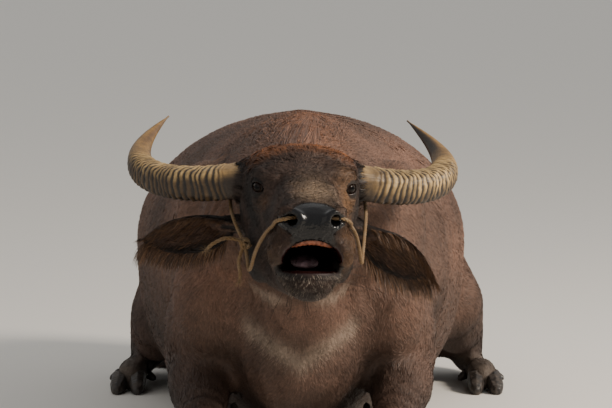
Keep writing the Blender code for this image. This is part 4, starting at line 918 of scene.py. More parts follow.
def hornMaterial():
    """Keratin: layered, fibrous and slightly waxy, polished on the tips. The black in the gaps between ridges and the
    dark undersides, carried in the tint, are painted shade.
    """
    made, tree, shader = newMaterial("horn keratin", IOR=1.54)
    place = add(tree, "TexCoord").outputs["Object"]
    tint = attribute(tree, "tint").outputs["Color"]
    fibre = add(tree, "TexNoise", {"Vector": place, "Scale": 420.0, "Detail": 5.0})  # 2.4 mm flakes
    dirt = add(tree, "TexNoise", {"Vector": place, "Scale": 60.0, "Detail": 6.0, "Roughness": 0.7})
    shade = add(tree, "MapRange", {"Value": dirt.outputs["Fac"], 1: 0.3, 2: 0.7, 3: 0.48, 4: 1.22}).outputs[0]
    colour = add(tree, "VectorMath", {0: tint, 1: shade}, operation="MULTIPLY").outputs[0]
    tree.links.new(colour, shader.inputs["Base Color"])
    rough = add(tree, "MapRange", {"Value": fibre.outputs["Fac"], 1: 0.3, 2: 0.7, 3: 0.42, 4: 0.70}).outputs[0]
    tree.links.new(rough, shader.inputs["Roughness"])
    bump = add(tree, "Bump", {"Height": fibre.outputs["Fac"], "Strength": 0.5, "Distance": 0.0006})
    tree.links.new(bump.outputs[0], shader.inputs["Normal"])
    return made


keratin = hornMaterial()
for side in (1, -1):
    makeHorn(side, keratin)
print("horns")


# Eyes
eyeLook = dict(iris=0.0098, pupil=(0.0068, 0.0042), bulge=0.0013, irisColour="#1a0e08", pupilColour="#030202", white="#2e211a", edge="#0c0807")


def makeEye(side):
    rows, around = 72, 96
    radius = head["eyeRadius"] - 0.0001
    polar = np.concatenate([np.linspace(0, 0.75, 40), np.linspace(0.77, math.pi, rows - 40)])
    angle = 2 * math.pi * np.arange(around) / around
    across = np.sin(polar)[1:-1, None] * np.cos(angle)
    rise = np.sin(polar)[1:-1, None] * np.sin(angle)
    out = np.cos(polar)[1:-1, None] * np.ones(around)
    flat = np.hypot(across, rise) * radius
    swell = 1 + eyeLook["bulge"] / radius * soft(eyeLook["iris"] * 1.15 - flat, 0, 0.006) * (out > 0)
    local = np.stack([across, out, rise], axis=-1) * (radius * swell)[..., None]
    turn = np.array(eyeTurn(side))
    world = fromHead(((local.reshape(-1, 3)) @ turn[:3, :3].T + turn[:3, 3]) * np.array([1, -1, 1])).reshape(local.shape)
    item = lofted("eye", world)
    x, z = local[..., 0], local[..., 2]
    inIris = soft(eyeLook["iris"] - flat, -0.0004, 0.0006) * (out > 0)
    spokes = 0.75 + 0.25 * np.sin(angle * 41 + 3 * np.sin(angle * 7)) * np.ones_like(flat)
    colour = mixed(tone(eyeLook["white"]), tone(eyeLook["edge"]), soft(flat, 0.010, 0.0125))
    colour = mixed(colour, tone(eyeLook["irisColour"]) * 1.0, inIris) * np.where(inIris > 0.5, spokes, 1)[..., None]
    wide, tall = eyeLook["pupil"]
    inPupil = soft(1 - (x / wide) ** 2 - (np.abs(z) / tall) ** 2.4, -0.10, 0.12) * (out > 0)
    colour = mixed(colour, tone(eyeLook["pupilColour"]), inPupil)
    flatColour = np.vstack([colour.reshape(-1, 3), tone(eyeLook["pupilColour"])[None], tone(eyeLook["edge"])[None]])
    colourAttribute(item, "tint", flatColour)
    item.name = "eyeLeft" if side > 0 else "eyeRight"
    return item


def eyeMaterial():
    """A wet cornea over a dark brown iris: it reads as black with one bright glint."""
    made, tree, shader = newMaterial("wet eye", Roughness=0.05, IOR=1.24)
    tint = attribute(tree, "tint").outputs["Color"]
    veins = add(tree, "TexNoise", {"Vector": add(tree, "TexCoord").outputs["Object"], "Scale": 700.0, "Detail": 3.0})
    shade = add(tree, "MapRange", {"Value": veins.outputs["Fac"], 1: 0.3, 2: 0.7, 3: 0.85, 4: 1.1}).outputs[0]
    tree.links.new(add(tree, "VectorMath", {0: tint, 1: shade}, operation="MULTIPLY").outputs[0], shader.inputs["Base Color"])
    return made


def wetSkinMaterial(name, light, deep, size, rough=0.22):
    """Moist mouth skin: soft colour in patches that big, small beads, and a broken wet shine."""
    made, tree, shader = newMaterial(name, IOR=1.40, Subsurface_Weight=0.0)
    place = add(tree, "TexCoord").outputs["Object"]
    patches = add(tree, "TexNoise", {"Vector": place, "Scale": 1 / size, "Detail": 4.0})
    share = add(tree, "MapRange", {"Value": patches.outputs["Fac"], 1: 0.35, 2: 0.65}).outputs[0]
    tree.links.new(blended(tree, share, rgba(deep), rgba(light)), shader.inputs["Base Color"])
    beads = add(tree, "TexVoronoi", {"Vector": place, "Scale": 480.0}, feature="SMOOTH_F1")  # 2 mm papillae
    tree.links.new(add(tree, "MapRange", {"Value": beads.outputs["Distance"], 1: 0.0, 2: 0.8, 3: rough + 0.18, 4: rough}).outputs[0], shader.inputs["Roughness"])
    bump = add(tree, "Bump", {"Height": beads.outputs["Distance"], "Strength": 0.4, "Distance": 0.0006})
    bump.invert = True
    tree.links.new(bump.outputs[0], shader.inputs["Normal"])
    return made


eyeMatter = eyeMaterial()
lidMatter = wetSkinMaterial("wet lid edge", "#3a2a25", "#17100e", 0.004, 0.16)
for side, name in ((1, "left"), (-1, "right")):
    dress(makeEye(side), eyeMatter, "eye", f"eye_{name}")
    rim = lidLine(side, head["eyeRadius"] + 0.0021, steps=36, inset=-0.0004)
    rim = fromHead(np.vstack([rim, rim[:1]]))
    lid = lofted(f"lidEdge_{name}", tubeRings(rim, 0.0016, 10))
    dress(lid, lidMatter, "hide")
    corner = lidLine(side, head["eyeRadius"] + 0.0005, steps=36)
    inner = corner[np.argmax(corner[:, 1])]
    # The tear corner is laid pale: partly the caruncle's own pinkish grey, partly a painted highlight for the glint at
    # the inner corner.
    tear = ball(fromHead([inner])[0], (0.0044, 0.0036, 0.0030), 20)
    tear.name = f"tearCorner_{name}"
    dress(tear, wetSkinMaterial(f"tear corner {name}", "#b09a8a", "#6d564a", 0.003, 0.12), "hide")
print("eyes")


# Tongue and dental pad
def refined(names, voxel, rounds, name):
    """The solids' own forms, with their facets rounded off."""
    item = remeshed(joined(name, [grownNode(node, 0.0003) for node in names]), voxel)
    return smoothed(item, rounds, 1.0)


tongue = refined(["tongue"], 0.0016, 14, "tongueFlesh")
spots = pointsOf(tongue)
setPoints(tongue, spots + normalsOf(tongue) * (0.0006 * ripple(spots, 0.010, 61) - 0.0004)[:, None])
dress(tongue, wetSkinMaterial("tongue", "#6a585e", "#33282c", 0.012), "muzzle_mouth", "tongue")
pad = refined(["dental_pad"], 0.0016, 14, "dentalPad")
spots = pointsOf(pad)
across = toHead(spots)[:, 0]
setPoints(pad, spots + normalsOf(pad) * (0.0009 * np.sin(across * 2 * math.pi / 0.0085) * 0.6 - 0.0005)[:, None])
dress(pad, wetSkinMaterial("dental pad", "#965c43", "#633525", 0.007), "muzzle_mouth", "dental_pad")
print("mouth")


# Halter: one worn rope of three strands, tied at the right cheek
rope = dict(radius=0.0042, strand=0.0023, lay=0.030, around=9, step=0.0022, straw="#8d7049", deep="#3f2c1b")
ropeNape = (0, 0.100, 0.206)
ropeLeft = (
    (0.060, 0.098, 0.196), (0.115, 0.085, 0.165), (0.142, 0.050, 0.118), (0.146, 0.010, 0.088), (0.143, -0.040, 0.066),
    (0.136, -0.100, 0.036), (0.128, -0.165, 0.006), (0.124, -0.200, -0.007), (0.119, -0.228, 0.002), (0.112, -0.275, 0.026),
    (0.102, -0.340, 0.054), (0.088, -0.405, 0.082), (0.072, -0.448, 0.100), (0.058, -0.478, 0.110), (0.040, -0.466, 0.112),
)
ropeRight = (
    (0.060, 0.098, 0.196), (0.115, 0.085, 0.165), (0.142, 0.050, 0.118), (0.146, 0.010, 0.088), (0.141, -0.040, 0.064),
    (0.130, -0.100, 0.038), (0.120, -0.145, 0.022), (0.116, -0.195, -0.024), (0.112, -0.232, -0.014), (0.108, -0.275, 0.016),
    (0.100, -0.340, 0.050), (0.088, -0.405, 0.080), (0.072, -0.448, 0.100), (0.058, -0.478, 0.110), (0.040, -0.466, 0.112),
)
knotKey = 6
looseEnds = (
    ((-0.012, -0.010, 0.008), (-0.040, -0.028, 0.014), (-0.066, -0.036, 0.004), (-0.082, -0.038, -0.010)),
    ((-0.006, -0.006, -0.012), (-0.013, -0.012, -0.038), (-0.010, -0.018, -0.062), (-0.012, -0.020, -0.080)),
)


def ropeLine():
    """The rope's middle line, found from its solid: the middle of each ring of corners, in order along the route."""
    left = [Vector(row) for row in ropeLeft]
    right = [Vector((-x, y, z)) for x, y, z in ropeRight]
    whole = right[:knotKey + 1][::-1] + [Vector(ropeNape)] + left + [inHead(0, 0.455, 0.112)] + right[knotKey:][::-1]
    route = through([tuple(headPlace @ point) for point in whole], 40)
    corners = pointsOf(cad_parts["halter_rope"])
    corners = corners[np.unique(np.round(corners, 5), axis=0, return_index=True)[1]]
    group = np.full(len(corners), -1)
    count = 0
    for seed in range(len(corners)):
        if group[seed] >= 0:
            continue
        stack = [seed]
        group[seed] = count
        while stack:
            k = stack.pop()
            close = np.flatnonzero((group < 0) & (np.linalg.norm(corners - corners[k], axis=1) < 0.0052))
            group[close] = count
            stack += list(close)
        count += 1
    middles = []
    for k in range(count):
        ring = corners[group == k]
        if len(ring) == 6:
            middle = ring.mean(axis=0)
            nearest = np.linalg.norm(route - middle, axis=1)
            middles.append((int(nearest.argmin()), tuple(middle)))
    middles.sort()
    return route, [middle for _, middle in middles]


def evenLine(points, step):
    points = np.asarray(points, float)
    along = np.concatenate([[0], np.cumsum(np.linalg.norm(np.diff(points, axis=0), axis=1))])
    wanted = np.linspace(0, along[-1], max(int(along[-1] / step), 4))
    return np.column_stack([np.interp(wanted, along, points[:, k]) for k in range(3)]), along[-1]


def strands(name, points, taper=None):
    """Three strands laid round a line, as one mesh."""
    line, length = evenLine(points, rope["step"])
    ways = unit(np.gradient(line, axis=0))
    right = np.array(Vector(ways[0]).orthogonal().normalized())
    rights = []
    for way in ways:
        right = unit(right - way * (right @ way))
        rights.append(right)
    rights = np.array(rights)
    ups = np.cross(ways, rights)
    along = np.linspace(0, length, len(line))
    offset = rope["radius"] - rope["strand"]
    size = np.ones(len(line)) if taper is None else np.interp(along / length, (0, 1 - taper, 1), (1, 1, 0.6))
    items = []
    for k in range(3):
        turn = 2 * math.pi * (along / rope["lay"] + k / 3)
        middle = line + (rights * np.cos(turn)[:, None] + ups * np.sin(turn)[:, None]) * (offset * size)[:, None]
        items.append(lofted("strand", tubeRings(middle, rope["strand"] * size * (1 + 0.05 * np.sin(along * 900 + k)), rope["around"])))
    return joined(name, items)


def frayed(end, way, count=26, length=0.020):
    """Loose fibres where the rope was cut."""
    items = []
    for _ in range(count):
        heading = unit(np.array(way) + draw.normal(size=3) * 0.32)
        reach = length * draw.uniform(0.5, 1.0)
        sag = np.array([0, 0, -0.25 * reach])
        points = [end - heading * 0.004, end + heading * reach * 0.5 + sag * 0.3, end + heading * reach + sag]
        items.append(lofted("fibre", tubeRings(through(points, 3), np.linspace(0.00055, 0.00018, 7), 4)))
    return items


def ropeMaterial():
    """Sisal or coir rope: dull straw fibres mixed with darker ones, greyed by use."""
    made, tree, shader = newMaterial("sisal rope")
    place = add(tree, "TexCoord").outputs["Object"]
    fibre = add(tree, "TexNoise", {"Vector": place, "Scale": 900.0, "Detail": 3.0})  # 1 mm fibres, coarser than real ones so that they show
    wear = add(tree, "TexNoise", {"Vector": place, "Scale": 45.0, "Detail": 4.0})
    share = add(tree, "MapRange", {"Value": fibre.outputs["Fac"], 1: 0.35, 2: 0.65}).outputs[0]
    colour = blended(tree, share, rgba(rope["deep"]), rgba(rope["straw"]))
    worn = add(tree, "MapRange", {"Value": wear.outputs["Fac"], 1: 0.4, 2: 0.7, 3: 0.0, 4: 0.45}).outputs[0]
    tree.links.new(blended(tree, worn, colour, rgba("#7d6f5c")), shader.inputs["Base Color"])
    tree.links.new(add(tree, "MapRange", {"Value": fibre.outputs["Fac"], 3: 0.75, 4: 0.95}).outputs[0], shader.inputs["Roughness"])
    bump = add(tree, "Bump", {"Height": fibre.outputs["Fac"], "Strength": 0.8, "Distance": 0.0007})
    tree.links.new(bump.outputs[0], shader.inputs["Normal"])
    return made


def makeHalter():
    route, middles = ropeLine()
    start = np.array(route[0])
    knotCorners = pointsOf(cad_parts["halter_knot"])
    for _ in range(3):  # the knot's own middle, from its solid
        close = knotCorners[np.linalg.norm(knotCorners - start, axis=1) < 0.020]
        start = close.mean(axis=0) if len(close) else start
    line = through([start] + middles + [start], 8)
    sisal = ropeMaterial()
    halter = dress(strands("halterRope", line), sisal, "rope", "halter_rope")
    length = np.linalg.norm(np.diff(line, axis=0), axis=1).sum()
    items = []
    up = unit(line[6] - line[0])
    across = unit(np.cross(up, [0.3, -1.0, 0.2]))
    deep = np.cross(up, across)
    turns = np.linspace(0, 2 * math.pi * 2.6, 70)
    climb = np.linspace(-0.010, 0.011, 70)
    coil = start + np.outer(climb, up) + np.outer(np.cos(turns) * 0.0078, across) + np.outer(np.sin(turns) * 0.0088, deep)
    items.append(strands("turns", coil))
    tuck = [start + up * -0.013 + across * 0.004, start + across * 0.0120, start + up * 0.012 + deep * 0.004, start - across * 0.0105 + up * 0.002, start - up * 0.012]
    items.append(strands("tuck", through(tuck, 8)))
    ends = []
    for shifts in looseEnds:
        route = through([start] + [start + np.array(shift) for shift in shifts], 8)
        items.append(strands("end", route, 0.1))
        items += frayed(route[-1], route[-1] - route[-4])
        ends.append(np.linalg.norm(np.diff(route, axis=0), axis=1).sum())
    dress(joined("halterKnot", items), sisal, "rope", "halter_knot")
    print("halter: rope", round(float(length), 3), "m, loose ends", [round(float(e), 3) for e in ends], "rings", len(middles))
    return line


halterLine = makeHalter()


# Hooves, rounded off from their solids
hoof = dict(voxel=0.0021, rounds=9, dark="#1d1815", grey="#4a413a", ring=0.0042)


def hoofMaterial():
    """Hoof horn: nearly black, with fine growth rings and patches of dried mud."""
    made, tree, shader = newMaterial("hoof horn", IOR=1.54)
    place = add(tree, "TexCoord").outputs["Object"]
    rings = add(tree, "TexWave", {"Vector": place, "Scale": 36.0, "Distortion": 3.0, "Detail": 2.0, "Detail Scale": 1.4}, bands_direction="Y")  # rings about 4 mm apart
    mud = add(tree, "TexNoise", {"Vector": place, "Scale": 70.0, "Detail": 6.0, "Roughness": 0.65})
    share = add(tree, "MapRange", {"Value": mud.outputs["Fac"], 1: 0.42, 2: 0.68}).outputs[0]
    tree.links.new(blended(tree, share, rgba(hoof["dark"]), rgba(hoof["grey"])), shader.inputs["Base Color"])
    tree.links.new(add(tree, "MapRange", {"Value": mud.outputs["Fac"], 1: 0.35, 2: 0.7, 3: 0.36, 4: 0.85}).outputs[0], shader.inputs["Roughness"])
    bump = add(tree, "Bump", {"Height": rings.outputs["Fac"], "Strength": 0.55, "Distance": 0.0009})
    tree.links.new(bump.outputs[0], shader.inputs["Normal"])
    return made


hoofMatter = hoofMaterial()
for limb in ("fore", "hind"):
    for name in ("left", "right"):
        nodes = [f"{kind}_{limb}_{name}_{place}" for kind in ("hoof", "dewclaw") for place in ("inner", "outer")]
        made = [refined([node], hoof["voxel"], hoof["rounds"], "claw") for node in nodes]
        dress(joined(f"hooves_{limb}_{name}", made), hoofMatter, "hoof", *nodes)
print("hooves")


# Coat: flat blades of hair in small tufts, laid along the body
coat = dict(
    blades=365000, mostInPiece=64000, patch=0.003,
    cellHead=0.0075, cellBody=0.012, converge=0.45,
    faceLength=0.0100, foreheadLength=0.0185, cheekLength=0.0125, neckLength=0.017, bodyLength=0.017, legLength=0.012,
)


def lieOfCoat(points, normals):
    """Which way the hair lies at each point."""
    q = toHead(points)
    n = (normals @ headMatrix[:3, :3]) * np.array([1, -1, 1])
    x, f, z = q.T
    toPoll = soft(0.205 - f, -0.02, 0.03)
    crownNow = soft(0.060 - f, -0.01, 0.035)
    top = np.column_stack([
        (0.25 + 0.75 * toPoll) * np.tanh(x / 0.035) + 1.5 * crownNow * np.tanh(x / 0.012),
        1 - 1.8 * toPoll + 0.7 * crownNow, 0.25 * toPoll * (1 - crownNow)])
    back = soft(0.34 - f, -0.02, 0.04)
    flank = np.column_stack([0 * x, 0.35 - 1.15 * back, -0.9 + 0.25 * back])
    under = np.column_stack([0 * x, -1 + 0 * x, 0 * x])
    way = mixed(top, flank, soft(np.abs(n[:, 0]), 0.50, 0.85))
    way = mixed(way, under, soft(-n[:, 2], 0.5, 0.8))
    swirl = ripple(q, 0.05, 21)
    way = way + 0.45 * np.column_stack([swirl, ripple(q, 0.06, 22), ripple(q, 0.06, 23)])
    which, along, over, off = earShares(q)
    for side in (1, -1):
        axis = earFrame(side)[1]
        way[which == side] = axis * np.array([1, -1, 1])
    headWay = turnFromHead(unit(way))
    p = points - shiftBack * np.array([1, 1, 0])
    side = np.abs(p[:, 0])
    bodyWay = np.column_stack([0 * side, 1 + 0 * side, -0.75 * np.abs(normals[:, 0]) - 0.15])
    foreArm = soft(side, 0.11, 0.15) * soft(0.27 - p[:, 2], 0, 0.05) * soft(-0.60 - p[:, 1], -0.04, 0.04)
    bodyWay = mixed(bodyWay, np.array([0, -1, -0.45]), foreArm * soft(p[:, 2], 0.07, 0.09))
    thigh = soft(side, 0.28, 0.33) * soft(p[:, 1], 0.10, 0.20) * soft(0.42 - p[:, 2], 0, 0.10)
    bodyWay = mixed(bodyWay, np.array([0, 0.45, -1]), thigh)
    shank = soft(0.10 - p[:, 2], 0, 0.03) * soft(side, 0.36, 0.40) * (p[:, 1] > 0.1)
    bodyWay = mixed(bodyWay, np.array([0, -1, -0.1]), shank)
    tailNow = soft(p[:, 1], 0.80, 0.84)
    bodyWay = mixed(bodyWay, np.array([-0.05, 0.0, -1]), tailNow * soft(p[:, 2], 0.05, 0.09))
    bodyWay = mixed(bodyWay, np.array([-1, -0.05, 0]), tailNow * soft(0.08 - p[:, 2], 0, 0.04))
    bodyWay = bodyWay + 0.22 * np.column_stack([ripple(points, 0.20, 24), ripple(points, 0.24, 25), ripple(points, 0.22, 26)])
    way = mixed(unit(bodyWay), headWay, np.maximum(headWeight(points), np.abs(which)))
    return unit(way - normals * (way * normals).sum(axis=1)[:, None])


def coatShape(points):
    """Density of blades, their length, width and height off the skin, at each point."""
    q = toHead(points)
    x, f, z = np.abs(q[:, 0]), q[:, 1], q[:, 2]
    onHead = headWeight(points)
    p = points - shiftBack * np.array([1, 1, 0])
    low = soft(0.13 - p[:, 2], 0, 0.08)
    density = 44000 - 30000 * soft(0.05 - p[:, 2], 0, 0.04)
    density = density + 60000 * soft(-p[:, 1], 0.70, 0.92)
    length = coat["bodyLength"] + (coat["legLength"] - coat["bodyLength"]) * low + (coat["neckLength"] - coat["bodyLength"]) * soft(-p[:, 1], 0.75, 0.90)
    width = 0.0021 - 0.0004 * low - 0.0004 * soft(-p[:, 1], 0.75, 0.95)
    height = 0.0009 + 0.0012 * soft(p[:, 2], 0.60, 0.72)
    forehead = soft(0.21 - f, 0, 0.08) * soft(z, 0.13, 0.18)
    headLength = coat["faceLength"] + (coat["foreheadLength"] - coat["faceLength"]) * forehead
    headLength = headLength + (coat["cheekLength"] - coat["faceLength"]) * soft(0.25 - f, 0, 0.12) * (1 - forehead)
    muzzle = soft(f, 0.36, 0.42)
    headLength = headLength * (1 - 0.25 * muzzle)
    headDensity = 540000 - 130000 * muzzle - 120000 * soft(0.04 - f, 0, 0.06)
    headWidth = 0.0011 + 0.0005 * forehead
    headHeight = 0.0012 + 0.0024 * forehead
    density = density + (headDensity - density) * onHead
    length = length + (headLength - length) * onHead
    width = width + (headWidth - width) * onHead
    height = height + (headHeight - height) * onHead
    which = np.abs(earShares(q)[0])
    density = density + (330000 - density) * which
    length = length + (0.0120 - length) * which
    width = width + (0.0012 - width) * which
    height = height + (0.0012 - height) * which
    bare = np.clip(padShare(q) + mouthShare(q) * onHead + 1.0 * lipShare(q) * onHead, 0, 1)
    eyeAt = np.array(head["eye"])
    ring = np.linalg.norm(np.column_stack([x, f, z]) - eyeAt, axis=1)
    bare = np.maximum(bare, soft(0.0290 - ring, 0, 0.002))
    wells = np.linalg.norm(np.column_stack([x - 0.046, (f - 0.470) * 0.6, z - 0.109]), axis=1)
    bare = np.maximum(bare, soft(0.021 - wells, 0, 0.003))
    length = length * (1 - 0.5 * soft(0.036 - ring, 0, 0.008))
    return density * (1 - bare), length, width, height


def makeProxy():
    """A light copy of the skin with its own unwrap, which tells each tuft where its patch of the map lies."""
    item = linked("proxy", body.data.copy())
    item.data.materials.clear()
    fewer = item.modifiers.new("fewer", "DECIMATE")
    fewer.ratio = 9000 / max(len(body.data.polygons) * 2, 1)
    settled(item)
    shape = bmesh.new()
    shape.from_mesh(item.data)
    bmesh.ops.triangulate(shape, faces=shape.faces)
    shape.to_mesh(item.data)
    shape.free()
    bpy.context.view_layer.objects.active = item
    item.select_set(True)
    bpy.ops.object.mode_set(mode="EDIT")
    bpy.ops.mesh.select_all(action="SELECT")
    bpy.ops.uv.smart_project(angle_limit=math.radians(66), island_margin=0.004)
    bpy.ops.object.mode_set(mode="OBJECT")
    corners = trianglesOf(item)
    flat = np.empty(len(item.data.loops) * 2, np.float32)
    item.data.uv_layers.active.data.foreach_get("uv", flat)
    loops = np.empty(len(item.data.loop_triangles) * 3, np.int32)
    item.data.loop_triangles.foreach_get("loops", loops)
    uv = flat.reshape(-1, 2)[loops.reshape(-1, 3)]
    points = pointsOf(item)
    tree = BVHTree.FromPolygons(points.tolist(), corners.tolist())
    bpy.data.objects.remove(item)
    return tree, points[corners], uv


def mapPlaces(roots, proxy):
    """Each root's place on the unwrap."""
    tree, corners, uv = proxy
    find = tree.find_nearest
    hits = [find(point) for point in roots.tolist()]
    index = np.array([hit[2] for hit in hits])
    at = np.array([tuple(hit[0]) for hit in hits])
    a, b, c = corners[index, 0], corners[index, 1], corners[index, 2]
    e0, e1, e2 = b - a, c - a, at - a
    d00, d01, d11 = (e0 * e0).sum(1), (e0 * e1).sum(1), (e1 * e1).sum(1)
    d20, d21 = (e2 * e0).sum(1), (e2 * e1).sum(1)
    scale = np.maximum(d00 * d11 - d01 * d01, 1e-18)
    v, w = (d11 * d20 - d01 * d21) / scale, (d00 * d21 - d01 * d20) / scale
    v, w = np.clip(v, 0, 1), np.clip(w, 0, 1)
    u = np.clip(1 - v - w, 0, 1)
    return uv[index, 0] * u[:, None] + uv[index, 1] * v[:, None] + uv[index, 2] * w[:, None]


def onSkin(points, heights):
    """Points moved to that height above the skin."""
    find = skinTree.find_nearest
    placed = np.empty_like(points)
    normals = np.empty_like(points)
    for k, point in enumerate(points.tolist()):
        near, normal, _, _ = find(point)
        placed[k] = near
        normals[k] = normal
    return placed + normals * np.asarray(heights)[:, None]


def growBlades(name, roots, normals, ways, lengths, widths, heights, colours, shares=(0, 0.5, 1), pull=None, droop=0.0, pinned=True, roll=0.5, paintedRootShade=0.72, tipShade=1.12):
    """Blades from arrays of roots, as one or more mesh pieces. Returns the pieces."""
    count = len(roots)
    if not count:
        return []
    lengths, widths, heights = (np.broadcast_to(v, count) for v in (lengths, widths, heights))
    across = np.cross(normals, ways)
    angle = draw.uniform(-roll, roll, count)[:, None]
    across = across * np.cos(angle) + normals * np.sin(angle)
    pull = np.zeros((count, 3)) if pull is None else pull
    layers = []
    shades = []
    for k, t in enumerate(shares):
        middle = roots + ways * (lengths * t)[:, None] + pull * t * t
        middle[:, 2] -= droop * lengths * t * t
        if t == 0:
            middle = middle - normals * 0.0006
        elif pinned:
            middle = onSkin(middle, heights * (0.75 * math.sin(math.pi * min(t, 0.8)) + 0.45 * t) + 0.0002)
        else:
            middle = middle + normals * (heights * t)[:, None]
        middle[:, 2] = np.maximum(middle[:, 2], 0.0005)
        half = across * (widths / 2 * (1 - 0.25 * t))[:, None]
        # Each blade runs from dark at its root, painted shade among the hairs, to lighter at its tip.
        shades.append(paintedRootShade + (tipShade - paintedRootShade) * t)
        if t < 1:
            layers += [middle - half, middle + half]
        else:
            layers.append(middle)
    points = np.stack(layers, axis=1)
    rows = len(shares)
    perBlade = 2 * rows - 1
    quads = np.array([(2 * k + 1, 2 * k, 2 * k + 2, 2 * k + 3) for k in range(rows - 2)])
    tip = np.array([(2 * rows - 3, 2 * rows - 4, 2 * rows - 2)])
    shade = np.array([value for k, value in enumerate(shades) for _ in range(2 if k < rows - 1 else 1)])
    tints = colours[:, None, :] * shade[None, :, None]
    places = mapPlaces(roots, proxy)
    patch = coat["patch"]
    spot = np.array([(x * patch, t * patch) for t in shares[:-1] for x in (0, 1)] + [(0.5 * patch, patch)])
    maps = np.clip(places[:, None, :] + spot[None], 0, 1)
    order = np.argsort(roots[:, 1], kind="stable")
    made = []
    perTriangles = 2 * len(quads) + 1
    most = min(coat["mostInPiece"], int(196000 / perTriangles))
    pieces = math.ceil(count / most)
    for number, chosen in enumerate(np.array_split(order, pieces)):
        base = np.arange(len(chosen))[:, None, None] * perBlade
        item = meshFrom(
            f"{name}_{number + 1}" if pieces > 1 else name, points[chosen].reshape(-1, 3),
            (tip[None] + base).reshape(-1, 3), (quads[None] + base).reshape(-1, 4))
        colourAttribute(item, "tint", np.clip(tints[chosen].reshape(-1, 3), 0, 1))
        layer = item.data.uv_layers.new(name="OFBake")
        loops = np.empty(len(item.data.loops), np.int32)
        item.data.loops.foreach_get("vertex_index", loops)
        layer.data.foreach_set("uv", np.ascontiguousarray(maps[chosen].reshape(-1, 2)[loops], np.float32).ravel())
        made.append(item)
    return made


def sampled(count, weights):
    """Random places on the skin: triangle and shares of its corners. weights is per triangle."""
    total = np.cumsum(weights)
    chosen = np.searchsorted(total, (np.arange(count) + draw.random(count)) / count * total[-1])
    chosen = np.minimum(chosen, len(weights) - 1)
    a, b = draw.random(count), draw.random(count)
    over = a + b > 1
    a[over], b[over] = 1 - a[over], 1 - b[over]
    return faces[chosen], np.column_stack([1 - a - b, a, b])


def at(values, corners, shares):
    """Values of the corners, blended for each place."""
    values = np.asarray(values)
    if values.ndim == 1:
        return (values[corners] * shares).sum(axis=1)
    return (values[corners] * shares[..., None]).sum(axis=1)


def tufts(roots, cell):
    """Gathers roots in small cells. Returns each root's cell middle, and its cell's own number."""
    wander = np.column_stack([ripple(roots, 0.03, k) for k in (31, 32, 33)])
    key = np.floor(roots / cell[:, None] + 0.35 * wander).astype(np.int64)
    key = key[:, 0] * 73856093 ^ key[:, 1] * 19349663 ^ key[:, 2] * 83492791
    _, index = np.unique(key, return_inverse=True)
    count = np.bincount(index)
    middle = np.column_stack([np.bincount(index, roots[:, k]) / count for k in range(3)])
    return middle[index], index


def furMaterial(name, streak, rough):
    """Buffalo hair: coarse, flat and slightly waxy, so it shines a little along its length."""
    made, tree, shader = newMaterial(name, Roughness=rough, IOR=1.40)
    tint = attribute(tree, "tint").outputs["Color"]
    place = add(tree, "TexCoord").outputs["Object"]
    strandsNoise = add(tree, "TexNoise", {"Vector": place, "Scale": 1 / streak, "Detail": 3.0})
    shade = add(tree, "MapRange", {"Value": strandsNoise.outputs["Fac"], 1: 0.3, 2: 0.7, 3: 0.72, 4: 1.28}).outputs[0]
    tree.links.new(add(tree, "VectorMath", {0: tint, 1: shade}, operation="MULTIPLY").outputs[0], shader.inputs["Base Color"])
    return made


faces = trianglesOf(body)
bodyNormals = normalsOf(body)
skinTree = BVHTree.FromPolygons(bodyPoints.tolist(), faces.tolist())
proxy = makeProxy()
lie = lieOfCoat(bodyPoints, bodyNormals)
density, hairLength, hairWidth, hairHeight = coatShape(bodyPoints)
a, b, c = (bodyPoints[faces[:, k]] for k in range(3))
areas = np.linalg.norm(np.cross(b - a, c - a), axis=1) / 2
# The floor side of a resting animal keeps few hairs, and the cut of the eye none.
weights = areas * density[faces].mean(axis=1)
wanted = int(min(coat["blades"] * (1), weights.sum()))
print("coat wants", int(weights.sum()), "blades, gets", wanted)
corners, shares = sampled(wanted, weights)
roots, normals = at(bodyPoints, corners, shares), unit(at(bodyNormals, corners, shares))
ways, tints = at(lie, corners, shares), at(bodyMarksAndPaintedLight, corners, shares)
lengths, widths, heights = at(hairLength, corners, shares), at(hairWidth, corners, shares), at(hairHeight, corners, shares)
headNow = np.maximum(headWeight(roots), np.abs(earShares(toHead(roots))[0]))
cell = coat["cellBody"] + (coat["cellHead"] - coat["cellBody"]) * headNow
middles, cellIndex = tufts(roots, cell)
cells = cellIndex.max() + 1
turn = (draw.normal(0, 1, cells)[cellIndex] * (0.09 + 0.07 * headNow) + draw.normal(0, 0.11, wanted))[:, None]
ways = unit(ways - normals * (ways * normals).sum(axis=1)[:, None])
ways = ways * np.cos(turn) + np.cross(normals, ways) * np.sin(turn)
lengths = lengths * draw.uniform(0.78, 1.18, cells)[cellIndex] * draw.uniform(0.75, 1.15, wanted)
heights = heights * draw.uniform(0.6, 1.5, cells)[cellIndex] * draw.uniform(0.6, 1.4, wanted)
tints = tints * (draw.uniform(0.90, 1.12, cells)[cellIndex] * draw.uniform(0.80 - 0.18 * headNow, 1.26 + 0.26 * headNow))[:, None]
pull = (middles - roots) * (coat["converge"] - 0.22 * soft(toHead(roots)[:, 1], 0.20, 0.30) * headNow)[:, None]
pull -= normals * (pull * normals).sum(axis=1)[:, None]
shortHair = furMaterial("short buffalo hair", 0.006, 0.60)
onHeadPiece = headNow > 0.5
for name, chosen in (("coat_head", onHeadPiece), ("coat_body", ~onHeadPiece)):
    for item in growBlades(name, roots[chosen], normals[chosen], ways[chosen], lengths[chosen], widths[chosen], heights[chosen], tints[chosen], pull=pull[chosen]):
        dress(item, shortHair, "hide")
print("short coat laid")


# Long hair: the crown, the back, round the horns, ears, lids and muzzle
longHair = dict(crown=11000, back=6500, horns=3600, earEdge=1500, earInside=900, lashes=70, bristles=420, whiskers=150)
longMatter = furMaterial("long coarse hair", 0.004, 0.52)
fine = (0, 0.28, 0.55, 0.8, 1)


